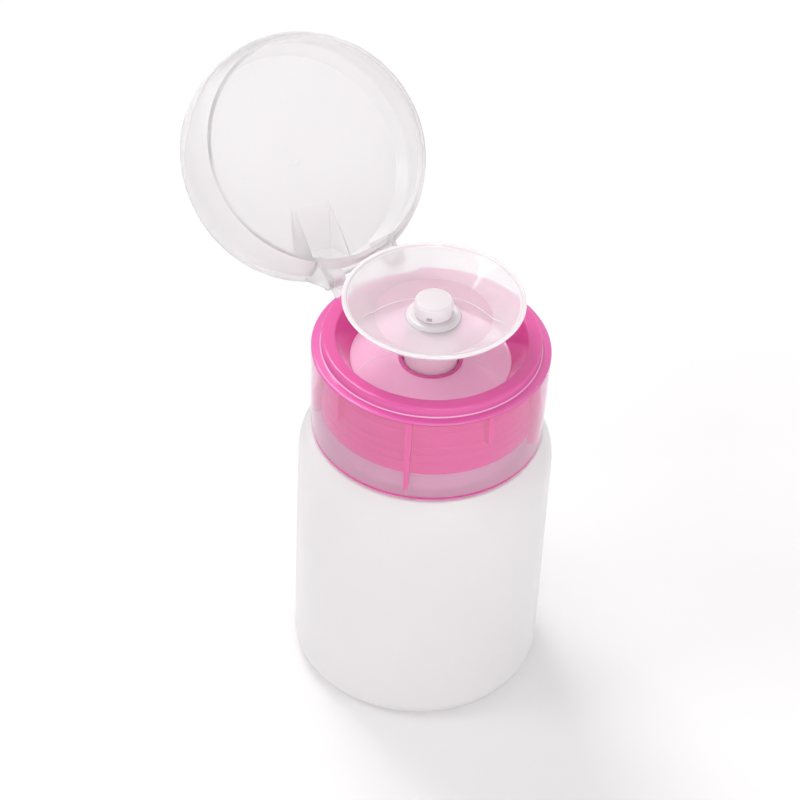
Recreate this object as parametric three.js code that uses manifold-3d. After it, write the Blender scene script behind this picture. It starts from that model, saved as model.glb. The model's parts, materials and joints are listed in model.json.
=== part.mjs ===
// A press-top nail polish remover pump, in millimetres, +Z up.
// The origin is the middle of the bottle's underside, and the lid's hinge is toward +Y.
// The lid stands open, as far as its hinge lets it go.
import * as THREE from 'three';
import { mergeVertices } from 'three/addons/utils/BufferGeometryUtils.js';
import Module from 'manifold-3d';

const wasm = await Module();
wasm.setup();

// Driving dimensions that several pieces share
const GAP = 0.3; // clearance between neighbouring pieces
const OVERRUN = 6; // how far a cutting solid runs past what it cuts
const MERGE_TOLERANCE = 0.0001;
const LARGE_SEGMENTS = 52;
const SMALL_SEGMENTS = 24;
const ARC_STEPS = 4;

// Bottle
const BOTTLE_RADIUS = 30;
const BOTTLE_BODY_HEIGHT = 69.9; // underside to the shelf below the collar
const BOTTLE_WALL = 1.2;
const BOTTLE_CORNER = 5;
const SHOULDER_RISE = 8;
const SHOULDER_INSET = 2.3;
const SHELF_ROUND = 1;
const SHELF_WIDTH = 6.1; // between the shoulder's edge and the neck
const NECK_WALL = 2.6;
const NECK_ROOT_ROUND = 1.2;

// Collar, heights measured from its ledge
const SKIRT_HEIGHT = 23.5;
const SKIRT_CLEARANCE = 0.6;
const SKIRT_DRAFT = 0.5; // how much narrower the skirt is at its bottom
const SKIRT_WALL = 1.3;
const LEDGE_CHAMFER = 0.4;
const LEDGE_THICKNESS = 1.5;
const LEDGE_WIDTH = 2.2;
const RIDGE_WIDTH = 3.2;
const RIDGE_HEIGHT = 2.6;
const RIDGE_ROUND = 0.5;
const THREAD_CLEARANCE = 0.8;
const THREAD_SKIRT_WALL = 1.6;
const THREAD_SKIRT_STEP = 5.5; // above the outer skirt's bottom
const FLOOR_DEPTH = 5;
const RECESS_SLOPE_WIDTH = 4;
const FLOOR_THICKNESS = 1.3;
const BOSS_WALL = 1;
const BOSS_HEIGHT = 0.6;
const SOCKET_WALL = 1.4;
const SOCKET_HEIGHT = 5;
const RIB_COUNT = 7; // long and short in turn, with the middle one opposite the hinge
const RIB_SPACING = THREE.MathUtils.degToRad(42.8);
const RIB_TOP_WIDTH = 1.7;
const RIB_BOTTOM_WIDTH = 1;
const LONG_RIB_STEP = 1.5; // above the outer skirt's bottom
const SHORT_RIB_HEIGHT = 10;
const NOTCH_HALF_WIDTH = 10.5;
const NOTCH_SETBACK = 3.1; // of the notch's flat face behind the skirt
const NOTCH_DEPTH = 4.6;
const NOTCH_WALL = 1.5;

// Hinge, with the pivot's place measured from the axis and from the ledge
const PIVOT_OVERHANG = 3; // beyond the skirt
const PIVOT_HEIGHT = 0.6;
const OPEN_ANGLE = THREE.MathUtils.degToRad(136.3);
const PIN_RADIUS = 0.9;
const KNUCKLE_RADIUS = 2;
const KNUCKLE_INSET = 1.7; // from the notch's end to the knuckle's outer face
const KNUCKLE_WIDTH = 3;
const EAR_RADIUS = 2.1;
const EAR_THICKNESS = 1.3;

// Lid, depths measured from its rim
const LID_HEADROOM = 1.36; // over the dish when the lid is closed
const LID_OVERHANG = 2.15; // beyond the skirt
const LID_RIM_INSET = 0.03;
const LID_WALL = 1.25;
const LID_RIM_WALL = 0.9;
const LID_PLATE_THICKNESS = 1.5;
const LID_TUCK_HEIGHT = 8.5;
const LID_OUTER_ROUND = 3.4;
const LID_INNER_ROUND = 2.5;
const LID_RIM_BAND = 3;
const POCKET_SETBACK = 18.65; // of the pocket's near edge behind the lid's outside
const POCKET_HALF_WIDTH = 4.65;
const POCKET_DEPTH = 5.5;
const POCKET_FRONT_RUN = 6.5;
const POCKET_BACK_RUN = 4.7;
const POCKET_WALL = 0.8;

// Dish, heights measured from the collar's ledge
const DISH_INSET = 6.56; // of the dish's rim behind the skirt
const DISH_DEPTH = 5.04;
const DISH_LIP_HEIGHT = 1.8;
const DISH_LIP_WIDTH = 1;
const DISH_WALL = 1.1;
const DISH_FLOOR_HEIGHT = 8.5;
const DISH_WALL_RUN = 7.54;
const DISH_FLOOR_THICKNESS = 1.2;
const DISH_BOSS_RADIUS = 6;
const DISH_BOSS_HEIGHT = 1;
const DISH_HOLE_RADIUS = 3.7;

// Outlet cap
const CAP_RADIUS = 4.5;
const CAP_HEIGHT = 3.2; // above the dish's boss
const CAP_ROUND = 0.6;
const CAP_ROOF = 1.4;
const CAP_BORE = 2.4;
const CAP_STUB_DEPTH = 1.5;
const CAP_SLOT_COUNT = 4;
const CAP_SLOT_WIDTH = 1.3;
const CAP_SLOT_HEIGHT = 0.9;

// Stem
const SLEEVE_RADIUS = 6.1;
const SLEEVE_WALL = 1.1;
const SLEEVE_BOTTOM = 7; // below the ledge
const STEM_TUBE_RADIUS = 3.2;
const STEM_BORE = 1.6;
const STEM_TOP_THICKNESS = 1.5;
const STEM_BOTTOM = 20; // below the ledge
const ROD_SOCKET_RADIUS = 2.3;
const ROD_SOCKET_DEPTH = 8;

// Check valves
const OUTLET_BALL_RADIUS = 1.9;
const OUTLET_SEAT_RADIUS = 2.3;
const OUTLET_SEAT_DEPTH = 2.5;
const OUTLET_CONE_HEIGHT = 0.8;
const INLET_BALL_RADIUS = 2.2;
const BALL_LIFT = 1;

// Pump chamber, depths measured down from the ledge
const CHAMBER_HEAD_RADIUS = 8.8;
const CHAMBER_HEAD_HEIGHT = 3;
const CHAMBER_UPPER_RADIUS = 8.2;
const CHAMBER_SEAL_BORE = 7.4;
const CHAMBER_SEAL_DEPTH = 3.7;
const CHAMBER_UPPER_BORE = 6.9;
const CHAMBER_UPPER_BOTTOM = 16.5;
const CHAMBER_TAPER = 2;
const CHAMBER_RADIUS = 6.6;
const CHAMBER_BORE = 5.6;
const CHAMBER_BOTTOM = 56;
const CHAMBER_FLOOR_RISE = 2.5;
const CHAMBER_SEAT_RISE = 2.4;
const INLET_BORE = 1.6;
const TUBE_SOCKET_WALL = 1;
const TUBE_SOCKET_LENGTH = 7.7;

// Stem seal, piston and its rod
const SEAL_HEIGHT = 3.1;
const PISTON_LIP_RADIUS = 5.3;
const PISTON_WAIST_RADIUS = 4.5;
const PISTON_LIP_HEIGHT = 1;
const PISTON_HEIGHT = 6.8;
const ROD_NECK_RADIUS = 2.9;
const ROD_STUB_RADIUS = 2;
const ROD_BORE = 1.1;
const ROD_FLANGE_RADIUS = 4.9;
const ROD_FLANGE_THICKNESS = 1.2;
const ROD_PILOT_RADIUS = 2.6;
const ROD_PILOT_LENGTH = 2.3;

// Ball cage, return spring, gasket and dip tube
const CAGE_RADIUS = 5.3;
const CAGE_WALL = 0.8;
const CAGE_PLATE_THICKNESS = 1.1;
const CAGE_HOLE_RADIUS = 1.3;
const CAGE_PORT_COUNT = 3;
const CAGE_PORT_WIDTH = 1.6;
const SPRING_RADIUS = 3.9;
const SPRING_WIRE = 0.8;
const SPRING_CURLS = 7;
const SPRING_STEPS = 8;
const SPRING_SIDES = 5;
const GASKET_THICKNESS = 1.2;
const DIP_TUBE_RADIUS = 2.5;
const DIP_TUBE_BORE = 1.6;
const DIP_TUBE_FOOT = 3; // above the bottle's inner floor

// Widths worked out from the sizes above
const NECK_RADIUS = BOTTLE_RADIUS - SHOULDER_INSET - SHELF_WIDTH;
const NECK_BORE = NECK_RADIUS - NECK_WALL;
const SKIRT_TOP_RADIUS = BOTTLE_RADIUS - SHOULDER_INSET;
const SKIRT_BOTTOM_RADIUS = SKIRT_TOP_RADIUS - SKIRT_DRAFT;
const RIDGE_OUTER_RADIUS = SKIRT_TOP_RADIUS - LEDGE_WIDTH;
const RIDGE_INNER_RADIUS = RIDGE_OUTER_RADIUS - RIDGE_WIDTH;
const FLOOR_RADIUS = RIDGE_INNER_RADIUS - RECESS_SLOPE_WIDTH;
const THREAD_SKIRT_BORE = NECK_RADIUS + THREAD_CLEARANCE;
const THREAD_SKIRT_RADIUS = THREAD_SKIRT_BORE + THREAD_SKIRT_WALL;
const BOSS_BORE = SLEEVE_RADIUS + GAP;
const SOCKET_BORE = CHAMBER_HEAD_RADIUS + GAP;
const NOTCH_FACE = SKIRT_TOP_RADIUS - NOTCH_SETBACK;
const PIVOT_REACH = SKIRT_TOP_RADIUS + PIVOT_OVERHANG;
const KNUCKLE_OUTER_FACE = NOTCH_HALF_WIDTH - KNUCKLE_INSET;
const KNUCKLE_INNER_FACE = KNUCKLE_OUTER_FACE - KNUCKLE_WIDTH;
const LID_RADIUS = SKIRT_TOP_RADIUS + LID_OVERHANG;
const LID_RIM_RADIUS = SKIRT_TOP_RADIUS - LID_RIM_INSET;
const POCKET_START = LID_RADIUS - POCKET_SETBACK;
const DISH_RADIUS = SKIRT_TOP_RADIUS - DISH_INSET;
const DISH_FLOOR_RADIUS = DISH_RADIUS - DISH_WALL_RUN;

// Heights worked out from the sizes above
const THREAD_SKIRT_HEIGHT = SKIRT_HEIGHT - THREAD_SKIRT_STEP;
const LONG_RIB_HEIGHT = SKIRT_HEIGHT - LONG_RIB_STEP;
const DISH_RIM_HEIGHT = DISH_FLOOR_HEIGHT + DISH_DEPTH;
const LID_HEIGHT = DISH_RIM_HEIGHT + LID_HEADROOM + LID_PLATE_THICKNESS;
const LEDGE = BOTTLE_BODY_HEIGHT + SKIRT_CLEARANCE + SKIRT_HEIGHT;
const COLLAR_UNDERSIDE = LEDGE - FLOOR_DEPTH - FLOOR_THICKNESS;
const GASKET_TOP = COLLAR_UNDERSIDE - GAP;
const NECK_TOP = GASKET_TOP - GASKET_THICKNESS - GAP;
const CHAMBER_TOP = COLLAR_UNDERSIDE - GAP;
const DISH_FLOOR = LEDGE + DISH_FLOOR_HEIGHT;
const DISH_UNDERSIDE = DISH_FLOOR - DISH_FLOOR_THICKNESS;
const DISH_BOSS_TOP = DISH_FLOOR + DISH_BOSS_HEIGHT;
const STEM_TOP = DISH_UNDERSIDE - GAP;
const PISTON_TOP = LEDGE - STEM_BOTTOM - GAP;
const PISTON_BOTTOM = PISTON_TOP - PISTON_HEIGHT;
const ROD_FLANGE_BOTTOM = PISTON_BOTTOM - GAP - ROD_FLANGE_THICKNESS;

/** Points of an arc in a profile, from one angle to another, in degrees. */
function arc(centreX, centreY, radius, fromDegrees, toDegrees, steps = ARC_STEPS) {
  const points = [];
  for (let i = 0; i <= steps; i += 1) {
    const angle = THREE.MathUtils.degToRad(THREE.MathUtils.lerp(fromDegrees, toDegrees, i / steps));
    points.push([centreX + radius * Math.cos(angle), centreY + radius * Math.sin(angle)]);
  }
  return points;
}

/** Turns a three.js geometry into a solid, with its shared vertices merged. */
function toSolid(geometry) {
  const bare = geometry.clone();
  bare.deleteAttribute('normal');
  bare.deleteAttribute('uv');
  const merged = mergeVertices(bare, MERGE_TOLERANCE);
  const index = Array.from(merged.index.array);
  const kept = [];
  for (let i = 0; i < index.length; i += 3) {
    const [a, b, c] = index.slice(i, i + 3);
    if (a !== b && b !== c && c !== a) kept.push(a, b, c);
  }
  return new wasm.Manifold(new wasm.Mesh({
    numProp: 3,
    vertProperties: new Float32Array(merged.attributes.position.array),
    triVerts: new Uint32Array(kept),
  }));
}

/** Turns a solid back into a geometry with flat facets. */
function toGeometry(solid) {
  const mesh = solid.getMesh();
  const geometry = new THREE.BufferGeometry();
  geometry.setAttribute('position', new THREE.BufferAttribute(new Float32Array(mesh.vertProperties), 3));
  geometry.setIndex(Array.from(mesh.triVerts));
  geometry.computeVertexNormals();
  return geometry;
}

/** A body of revolution about Z from a profile of radius and height that goes round anticlockwise. */
function revolve(profile, segments = LARGE_SEGMENTS) {
  const closed = profile[0][0] > 0;
  const points = profile.map(([radius, height]) => new THREE.Vector2(radius, height));
  if (closed) points.push(points[0].clone());
  const geometry = new THREE.LatheGeometry(points, segments);
  geometry.rotateX(Math.PI / 2);
  return toSolid(geometry);
}

/** A prism whose outline lies in the YZ plane and which runs along X between two places. */
function prismAlongX(outline, fromX, toX) {
  const shape = new THREE.Shape(outline.map(([y, z]) => new THREE.Vector2(y, z)));
  const geometry = new THREE.ExtrudeGeometry(shape, { depth: toX - fromX, bevelEnabled: false });
  const toYZ = new THREE.Matrix4().makeBasis(
    new THREE.Vector3(0, 1, 0),
    new THREE.Vector3(0, 0, 1),
    new THREE.Vector3(1, 0, 0),
  );
  geometry.applyMatrix4(toYZ);
  geometry.translate(fromX, 0, 0);
  return toSolid(geometry);
}

/** A box between two corners. */
function box(fromX, toX, fromY, toY, fromZ, toZ) {
  const geometry = new THREE.BoxGeometry(toX - fromX, toY - fromY, toZ - fromZ);
  geometry.translate((fromX + toX) / 2, (fromY + toY) / 2, (fromZ + toZ) / 2);
  return toSolid(geometry);
}

/** A box standing on a radius, turned about Z. */
function radialBox(innerRadius, outerRadius, width, fromZ, toZ, angle) {
  const geometry = new THREE.BoxGeometry(outerRadius - innerRadius, width, toZ - fromZ);
  geometry.translate((innerRadius + outerRadius) / 2, 0, (fromZ + toZ) / 2);
  geometry.rotateZ(angle);
  return toSolid(geometry);
}

/** A round bar along X between two places. */
function barAlongX(radius, fromX, toX, y, z) {
  const geometry = new THREE.CylinderGeometry(radius, radius, toX - fromX, SMALL_SEGMENTS);
  geometry.rotateZ(Math.PI / 2);
  geometry.translate((fromX + toX) / 2, y, z);
  return toSolid(geometry);
}

function unite(solids) {
  return solids.reduce((whole, solid) => whole.add(solid));
}

function cutAway(whole, cutters) {
  return cutters.reduce((rest, cutter) => rest.subtract(cutter), whole);
}

function bottle() {
  const shoulderBottom = BOTTLE_BODY_HEIGHT - SHOULDER_RISE;
  const shelfRadius = BOTTLE_RADIUS - SHOULDER_INSET;
  const shoulder = (inset) => {
    const points = [];
    for (let i = 0; i <= ARC_STEPS; i += 1) {
      const share = i / ARC_STEPS;
      const radius = BOTTLE_RADIUS - inset - SHOULDER_INSET * share * share;
      points.push([radius, shoulderBottom + (SHOULDER_RISE - SHELF_ROUND) * share]);
    }
    return points;
  };
  const neckBase = BOTTLE_BODY_HEIGHT;
  const innerCorner = BOTTLE_CORNER - BOTTLE_WALL;
  const outside = [
    [0, 0],
    ...arc(BOTTLE_RADIUS - BOTTLE_CORNER, BOTTLE_CORNER, BOTTLE_CORNER, -90, 0),
    ...shoulder(0),
    [shelfRadius - SHELF_ROUND, neckBase],
    [NECK_RADIUS + NECK_ROOT_ROUND, neckBase],
    [NECK_RADIUS, neckBase + NECK_ROOT_ROUND],
    [NECK_RADIUS, NECK_TOP],
  ];
  const inside = [
    [NECK_BORE, NECK_TOP],
    [NECK_BORE, neckBase],
    [NECK_BORE + NECK_ROOT_ROUND, neckBase - BOTTLE_WALL],
    [shelfRadius - SHELF_ROUND - BOTTLE_WALL, neckBase - BOTTLE_WALL],
    ...shoulder(BOTTLE_WALL).slice(0, -1).reverse(),
    ...arc(BOTTLE_RADIUS - BOTTLE_CORNER, BOTTLE_CORNER, innerCorner, 0, -90),
    [0, BOTTLE_WALL],
  ];
  return revolve([...outside, ...inside]);
}

/** One rib between the collar's two skirts, narrower at its foot. */
function rib(height, angle) {
  const top = LEDGE - LEDGE_THICKNESS / 2;
  const outline = [
    [-RIB_BOTTOM_WIDTH / 2, LEDGE - height],
    [RIB_BOTTOM_WIDTH / 2, LEDGE - height],
    [RIB_TOP_WIDTH / 2, top],
    [-RIB_TOP_WIDTH / 2, top],
  ];
  const inner = THREAD_SKIRT_RADIUS - THREAD_SKIRT_WALL / 2;
  const outer = SKIRT_BOTTOM_RADIUS - SKIRT_WALL / 2;
  return prismAlongX(outline, inner, outer).rotate([0, 0, THREE.MathUtils.radToDeg(angle)]);
}

function collar() {
  const skirtBottom = LEDGE - SKIRT_HEIGHT;
  const floor = LEDGE - FLOOR_DEPTH;
  const ridgeTop = LEDGE + RIDGE_HEIGHT;
  const voidTop = LEDGE - LEDGE_THICKNESS;
  const socketBottom = COLLAR_UNDERSIDE - SOCKET_HEIGHT;
  const threadBottom = LEDGE - THREAD_SKIRT_HEIGHT;
  const whole = revolve([
    [BOSS_BORE, COLLAR_UNDERSIDE],
    [SOCKET_BORE, COLLAR_UNDERSIDE],
    [SOCKET_BORE, socketBottom],
    [SOCKET_BORE + SOCKET_WALL, socketBottom],
    [SOCKET_BORE + SOCKET_WALL, COLLAR_UNDERSIDE],
    [THREAD_SKIRT_BORE, COLLAR_UNDERSIDE],
    [THREAD_SKIRT_BORE, threadBottom],
    [THREAD_SKIRT_RADIUS, threadBottom],
    [THREAD_SKIRT_RADIUS, voidTop],
    [SKIRT_TOP_RADIUS - SKIRT_WALL, voidTop],
    [SKIRT_BOTTOM_RADIUS - SKIRT_WALL, skirtBottom],
    [SKIRT_BOTTOM_RADIUS, skirtBottom],
    [SKIRT_TOP_RADIUS, LEDGE - LEDGE_CHAMFER],
    [SKIRT_TOP_RADIUS - LEDGE_CHAMFER, LEDGE],
    [RIDGE_OUTER_RADIUS, LEDGE],
    [RIDGE_OUTER_RADIUS, ridgeTop - RIDGE_ROUND],
    [RIDGE_OUTER_RADIUS - RIDGE_ROUND, ridgeTop],
    [RIDGE_INNER_RADIUS + RIDGE_ROUND, ridgeTop],
    [RIDGE_INNER_RADIUS, ridgeTop - RIDGE_ROUND],
    [FLOOR_RADIUS + BOSS_HEIGHT, floor + BOSS_HEIGHT],
    [FLOOR_RADIUS, floor],
    [BOSS_BORE + BOSS_WALL, floor],
    [BOSS_BORE + BOSS_WALL, floor + BOSS_HEIGHT],
    [BOSS_BORE, floor + BOSS_HEIGHT],
  ]);
  const ribs = [];
  for (let i = 0; i < RIB_COUNT; i += 1) {
    const place = i - (RIB_COUNT - 1) / 2;
    const isLong = place % 2 !== 0;
    ribs.push(rib(isLong ? LONG_RIB_HEIGHT : SHORT_RIB_HEIGHT, place * RIB_SPACING - Math.PI / 2));
  }
  const notch = box(
    -NOTCH_HALF_WIDTH,
    NOTCH_HALF_WIDTH,
    NOTCH_FACE,
    SKIRT_TOP_RADIUS + OVERRUN,
    LEDGE - NOTCH_DEPTH,
    ridgeTop + OVERRUN,
  );
  const notchWall = box(
    -NOTCH_HALF_WIDTH,
    NOTCH_HALF_WIDTH,
    NOTCH_FACE - NOTCH_WALL,
    NOTCH_FACE,
    LEDGE - NOTCH_DEPTH,
    ridgeTop,
  );
  return cutAway(unite([whole, ...ribs]), [notch]).add(notchWall);
}

function neckGasket() {
  const bottom = GASKET_TOP - GASKET_THICKNESS;
  return revolve([
    [NECK_BORE, bottom],
    [THREAD_SKIRT_BORE - GAP, bottom],
    [THREAD_SKIRT_BORE - GAP, GASKET_TOP],
    [NECK_BORE, GASKET_TOP],
  ]);
}

function hingeBase() {
  const halfWidth = NOTCH_HALF_WIDTH - GAP;
  const bottom = LEDGE - NOTCH_DEPTH + GAP;
  const top = LEDGE - GAP;
  const outerRadius = SKIRT_TOP_RADIUS - GAP;
  const pivotZ = LEDGE + PIVOT_HEIGHT;
  const face = NOTCH_FACE + GAP;
  const block = box(-halfWidth, halfWidth, face, outerRadius, bottom, top);
  const barrel = revolve([[0, bottom - OVERRUN], [outerRadius, bottom - OVERRUN],
    [outerRadius, top + OVERRUN], [0, top + OVERRUN]]);
  const armOutline = [
    [face, bottom],
    [outerRadius, bottom],
    ...arc(PIVOT_REACH, pivotZ, KNUCKLE_RADIUS, -50, 207, 2 * ARC_STEPS),
    [face, top],
  ];
  const arms = [
    prismAlongX(armOutline, KNUCKLE_INNER_FACE, KNUCKLE_OUTER_FACE),
    prismAlongX(armOutline, -KNUCKLE_OUTER_FACE, -KNUCKLE_INNER_FACE),
  ];
  const bore = barAlongX(PIN_RADIUS + GAP, -NOTCH_HALF_WIDTH, NOTCH_HALF_WIDTH, PIVOT_REACH, pivotZ);
  return cutAway(unite([block.intersect(barrel), ...arms]), [bore]);
}

/** The lid's outside or inside, as a profile of radius and depth from the rim. */
function lidProfile(rimRadius, fullRadius, cornerRound, plateDepth) {
  const points = [];
  for (let i = 0; i < ARC_STEPS; i += 1) {
    const rest = 1 - i / ARC_STEPS;
    points.push([fullRadius - (fullRadius - rimRadius) * rest * rest, LID_TUCK_HEIGHT * (1 - rest)]);
  }
  return [...points, ...arc(fullRadius - cornerRound, plateDepth - cornerRound, cornerRound, 0, 90)];
}

function lid() {
  const plateInside = LID_HEIGHT - LID_PLATE_THICKNESS;
  const insideRadius = LID_RADIUS - LID_WALL;
  const outside = lidProfile(LID_RIM_RADIUS, LID_RADIUS, LID_OUTER_ROUND, LID_HEIGHT);
  const inside = lidProfile(LID_RIM_RADIUS - LID_RIM_WALL, insideRadius, LID_INNER_ROUND, plateInside);
  const shell = revolve([[0, plateInside], ...inside.slice().reverse(), ...outside, [0, LID_HEIGHT]]);

  const pocketBottom = POCKET_START + POCKET_FRONT_RUN;
  const pocketEnd = pocketBottom + POCKET_BACK_RUN;
  const pocketOutline = (wall) => [
    [POCKET_START - wall, LID_HEIGHT - LID_PLATE_THICKNESS],
    [pocketEnd + wall, LID_HEIGHT - LID_PLATE_THICKNESS],
    [pocketEnd + wall, LID_HEIGHT],
    [pocketBottom + wall, LID_HEIGHT + POCKET_DEPTH - LID_PLATE_THICKNESS + wall],
    [pocketBottom - wall, LID_HEIGHT + POCKET_DEPTH - LID_PLATE_THICKNESS + wall],
    [POCKET_START - wall, LID_HEIGHT],
  ];
  const pocketOutside = prismAlongX(
    pocketOutline(POCKET_WALL),
    -POCKET_HALF_WIDTH - POCKET_WALL,
    POCKET_HALF_WIDTH + POCKET_WALL,
  );
  const pocketInside = prismAlongX([
    [POCKET_START, plateInside - LID_PLATE_THICKNESS],
    [pocketEnd, plateInside - LID_PLATE_THICKNESS],
    [pocketEnd, plateInside],
    [pocketBottom, plateInside + POCKET_DEPTH],
    [POCKET_START, plateInside],
  ], -POCKET_HALF_WIDTH, POCKET_HALF_WIDTH);

  const earInner = KNUCKLE_OUTER_FACE + GAP;
  const earOuter = earInner + EAR_THICKNESS;
  const earRoot = Math.sqrt(LID_RIM_RADIUS ** 2 - earOuter ** 2) - LID_RIM_WALL;
  const earEnd = Math.sqrt(LID_RADIUS ** 2 - earOuter ** 2);
  const earOutline = [
    [earRoot, 0],
    [LID_RIM_RADIUS, 0],
    ...arc(PIVOT_REACH, PIVOT_HEIGHT - GAP, EAR_RADIUS, -100, 60, 2 * ARC_STEPS),
    [earEnd, plateInside - LID_OUTER_ROUND],
    [earRoot, plateInside - LID_OUTER_ROUND],
  ];
  const window = box(
    -earInner,
    earInner,
    POCKET_START + POCKET_FRONT_RUN + POCKET_BACK_RUN,
    LID_RADIUS + OVERRUN,
    LID_RIM_BAND,
    plateInside - LID_OUTER_ROUND / 2,
  );
  const pinStart = KNUCKLE_INNER_FACE + GAP;
  const parts = [
    prismAlongX(earOutline, earInner, earOuter),
    prismAlongX(earOutline, -earOuter, -earInner),
    barAlongX(PIN_RADIUS, pinStart, earOuter, PIVOT_REACH, PIVOT_HEIGHT - GAP),
    barAlongX(PIN_RADIUS, -earOuter, -pinStart, PIVOT_REACH, PIVOT_HEIGHT - GAP),
  ];
  const open = cutAway(unite([shell, pocketOutside]), [pocketInside, window]);
  return unite([open, ...parts]);
}

function dish() {
  const rimTop = LEDGE + DISH_RIM_HEIGHT;
  const bowlRise = DISH_RIM_HEIGHT - DISH_FLOOR_HEIGHT;
  const bowlRun = DISH_RADIUS - DISH_LIP_WIDTH - DISH_FLOOR_RADIUS;
  const bowl = (offset, drop) => {
    const points = [];
    for (let i = 0; i <= ARC_STEPS; i += 1) {
      const angle = (i / ARC_STEPS) * (Math.PI / 2);
      const radius = DISH_FLOOR_RADIUS + offset + bowlRun * Math.sin(angle);
      points.push([radius, DISH_FLOOR - drop + bowlRise * (1 - Math.cos(angle))]);
    }
    return points;
  };
  const lipBottom = rimTop - DISH_LIP_HEIGHT;
  const underside = bowl(DISH_WALL / 2, DISH_FLOOR_THICKNESS).filter(([, height]) => height < lipBottom);
  return revolve([
    [DISH_HOLE_RADIUS, DISH_UNDERSIDE],
    ...underside,
    [DISH_RADIUS - DISH_LIP_WIDTH + DISH_WALL / 2, lipBottom],
    [DISH_RADIUS, lipBottom],
    [DISH_RADIUS, rimTop],
    ...bowl(0, 0).reverse(),
    [DISH_BOSS_RADIUS + DISH_BOSS_HEIGHT, DISH_FLOOR],
    [DISH_BOSS_RADIUS, DISH_BOSS_TOP],
    [DISH_HOLE_RADIUS, DISH_BOSS_TOP],
  ]);
}

function outletCap() {
  const bottom = DISH_BOSS_TOP + GAP;
  const top = bottom + CAP_HEIGHT;
  const stubRadius = DISH_HOLE_RADIUS - GAP;
  const stubBottom = bottom - CAP_STUB_DEPTH;
  const whole = revolve([
    [0, top - CAP_ROOF],
    [CAP_BORE, top - CAP_ROOF],
    [CAP_BORE, stubBottom],
    [stubRadius, stubBottom],
    [stubRadius, bottom],
    [CAP_RADIUS, bottom],
    [CAP_RADIUS, top - CAP_ROUND],
    [CAP_RADIUS - CAP_ROUND, top],
    [0, top],
  ], SMALL_SEGMENTS);
  const slots = [];
  for (let i = 0; i < CAP_SLOT_COUNT; i += 1) {
    const angle = (i + 1 / 2) * (2 * Math.PI / CAP_SLOT_COUNT);
    const slotBottom = bottom + CAP_SLOT_HEIGHT / 2;
    slots.push(radialBox(
      CAP_BORE / 2,
      CAP_RADIUS + OVERRUN,
      CAP_SLOT_WIDTH,
      slotBottom,
      slotBottom + CAP_SLOT_HEIGHT,
      angle,
    ));
  }
  return cutAway(whole, slots);
}

/** The height of a ball's middle when it rests a gap above the edge of its seat. */
function restingHeight(edgeHeight, edgeRadius, ballRadius) {
  return edgeHeight + Math.sqrt((ballRadius + GAP) ** 2 - edgeRadius ** 2);
}

function ball(radius, height) {
  const geometry = new THREE.SphereGeometry(radius, SMALL_SEGMENTS / 2, SMALL_SEGMENTS / 3);
  geometry.rotateX(Math.PI / 2);
  geometry.translate(0, 0, height);
  return toSolid(geometry);
}

function outletBall() {
  const seatEdge = STEM_TOP - OUTLET_SEAT_DEPTH - OUTLET_CONE_HEIGHT;
  return ball(OUTLET_BALL_RADIUS, restingHeight(seatEdge, STEM_BORE, OUTLET_BALL_RADIUS));
}

function stem() {
  const bottom = LEDGE - STEM_BOTTOM;
  const sleeveBottom = LEDGE - SLEEVE_BOTTOM;
  const underTop = STEM_TOP - STEM_TOP_THICKNESS;
  return revolve([
    [ROD_SOCKET_RADIUS, bottom],
    [STEM_TUBE_RADIUS, bottom],
    [STEM_TUBE_RADIUS, underTop],
    [SLEEVE_RADIUS - SLEEVE_WALL, underTop],
    [SLEEVE_RADIUS - SLEEVE_WALL, sleeveBottom],
    [SLEEVE_RADIUS, sleeveBottom],
    [SLEEVE_RADIUS, STEM_TOP],
    [OUTLET_SEAT_RADIUS, STEM_TOP],
    [OUTLET_SEAT_RADIUS, STEM_TOP - OUTLET_SEAT_DEPTH],
    [STEM_BORE, STEM_TOP - OUTLET_SEAT_DEPTH - OUTLET_CONE_HEIGHT],
    [STEM_BORE, bottom + ROD_SOCKET_DEPTH],
    [ROD_SOCKET_RADIUS, bottom + ROD_SOCKET_DEPTH],
  ], SMALL_SEGMENTS);
}

function stemSeal() {
  const bottom = CHAMBER_TOP - CHAMBER_SEAL_DEPTH + GAP;
  return revolve([
    [SLEEVE_RADIUS + GAP, bottom],
    [CHAMBER_SEAL_BORE - GAP, bottom],
    [CHAMBER_SEAL_BORE - GAP, bottom + SEAL_HEIGHT],
    [SLEEVE_RADIUS + GAP, bottom + SEAL_HEIGHT],
  ], SMALL_SEGMENTS);
}

function piston() {
  const bore = ROD_NECK_RADIUS + GAP;
  const slope = PISTON_LIP_RADIUS - PISTON_WAIST_RADIUS;
  return revolve([
    [bore, PISTON_BOTTOM],
    [PISTON_LIP_RADIUS, PISTON_BOTTOM],
    [PISTON_LIP_RADIUS, PISTON_BOTTOM + PISTON_LIP_HEIGHT],
    [PISTON_WAIST_RADIUS, PISTON_BOTTOM + PISTON_LIP_HEIGHT + slope],
    [PISTON_WAIST_RADIUS, PISTON_TOP - PISTON_LIP_HEIGHT - slope],
    [PISTON_LIP_RADIUS, PISTON_TOP - PISTON_LIP_HEIGHT],
    [PISTON_LIP_RADIUS, PISTON_TOP],
    [bore, PISTON_TOP],
  ], SMALL_SEGMENTS);
}

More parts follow.
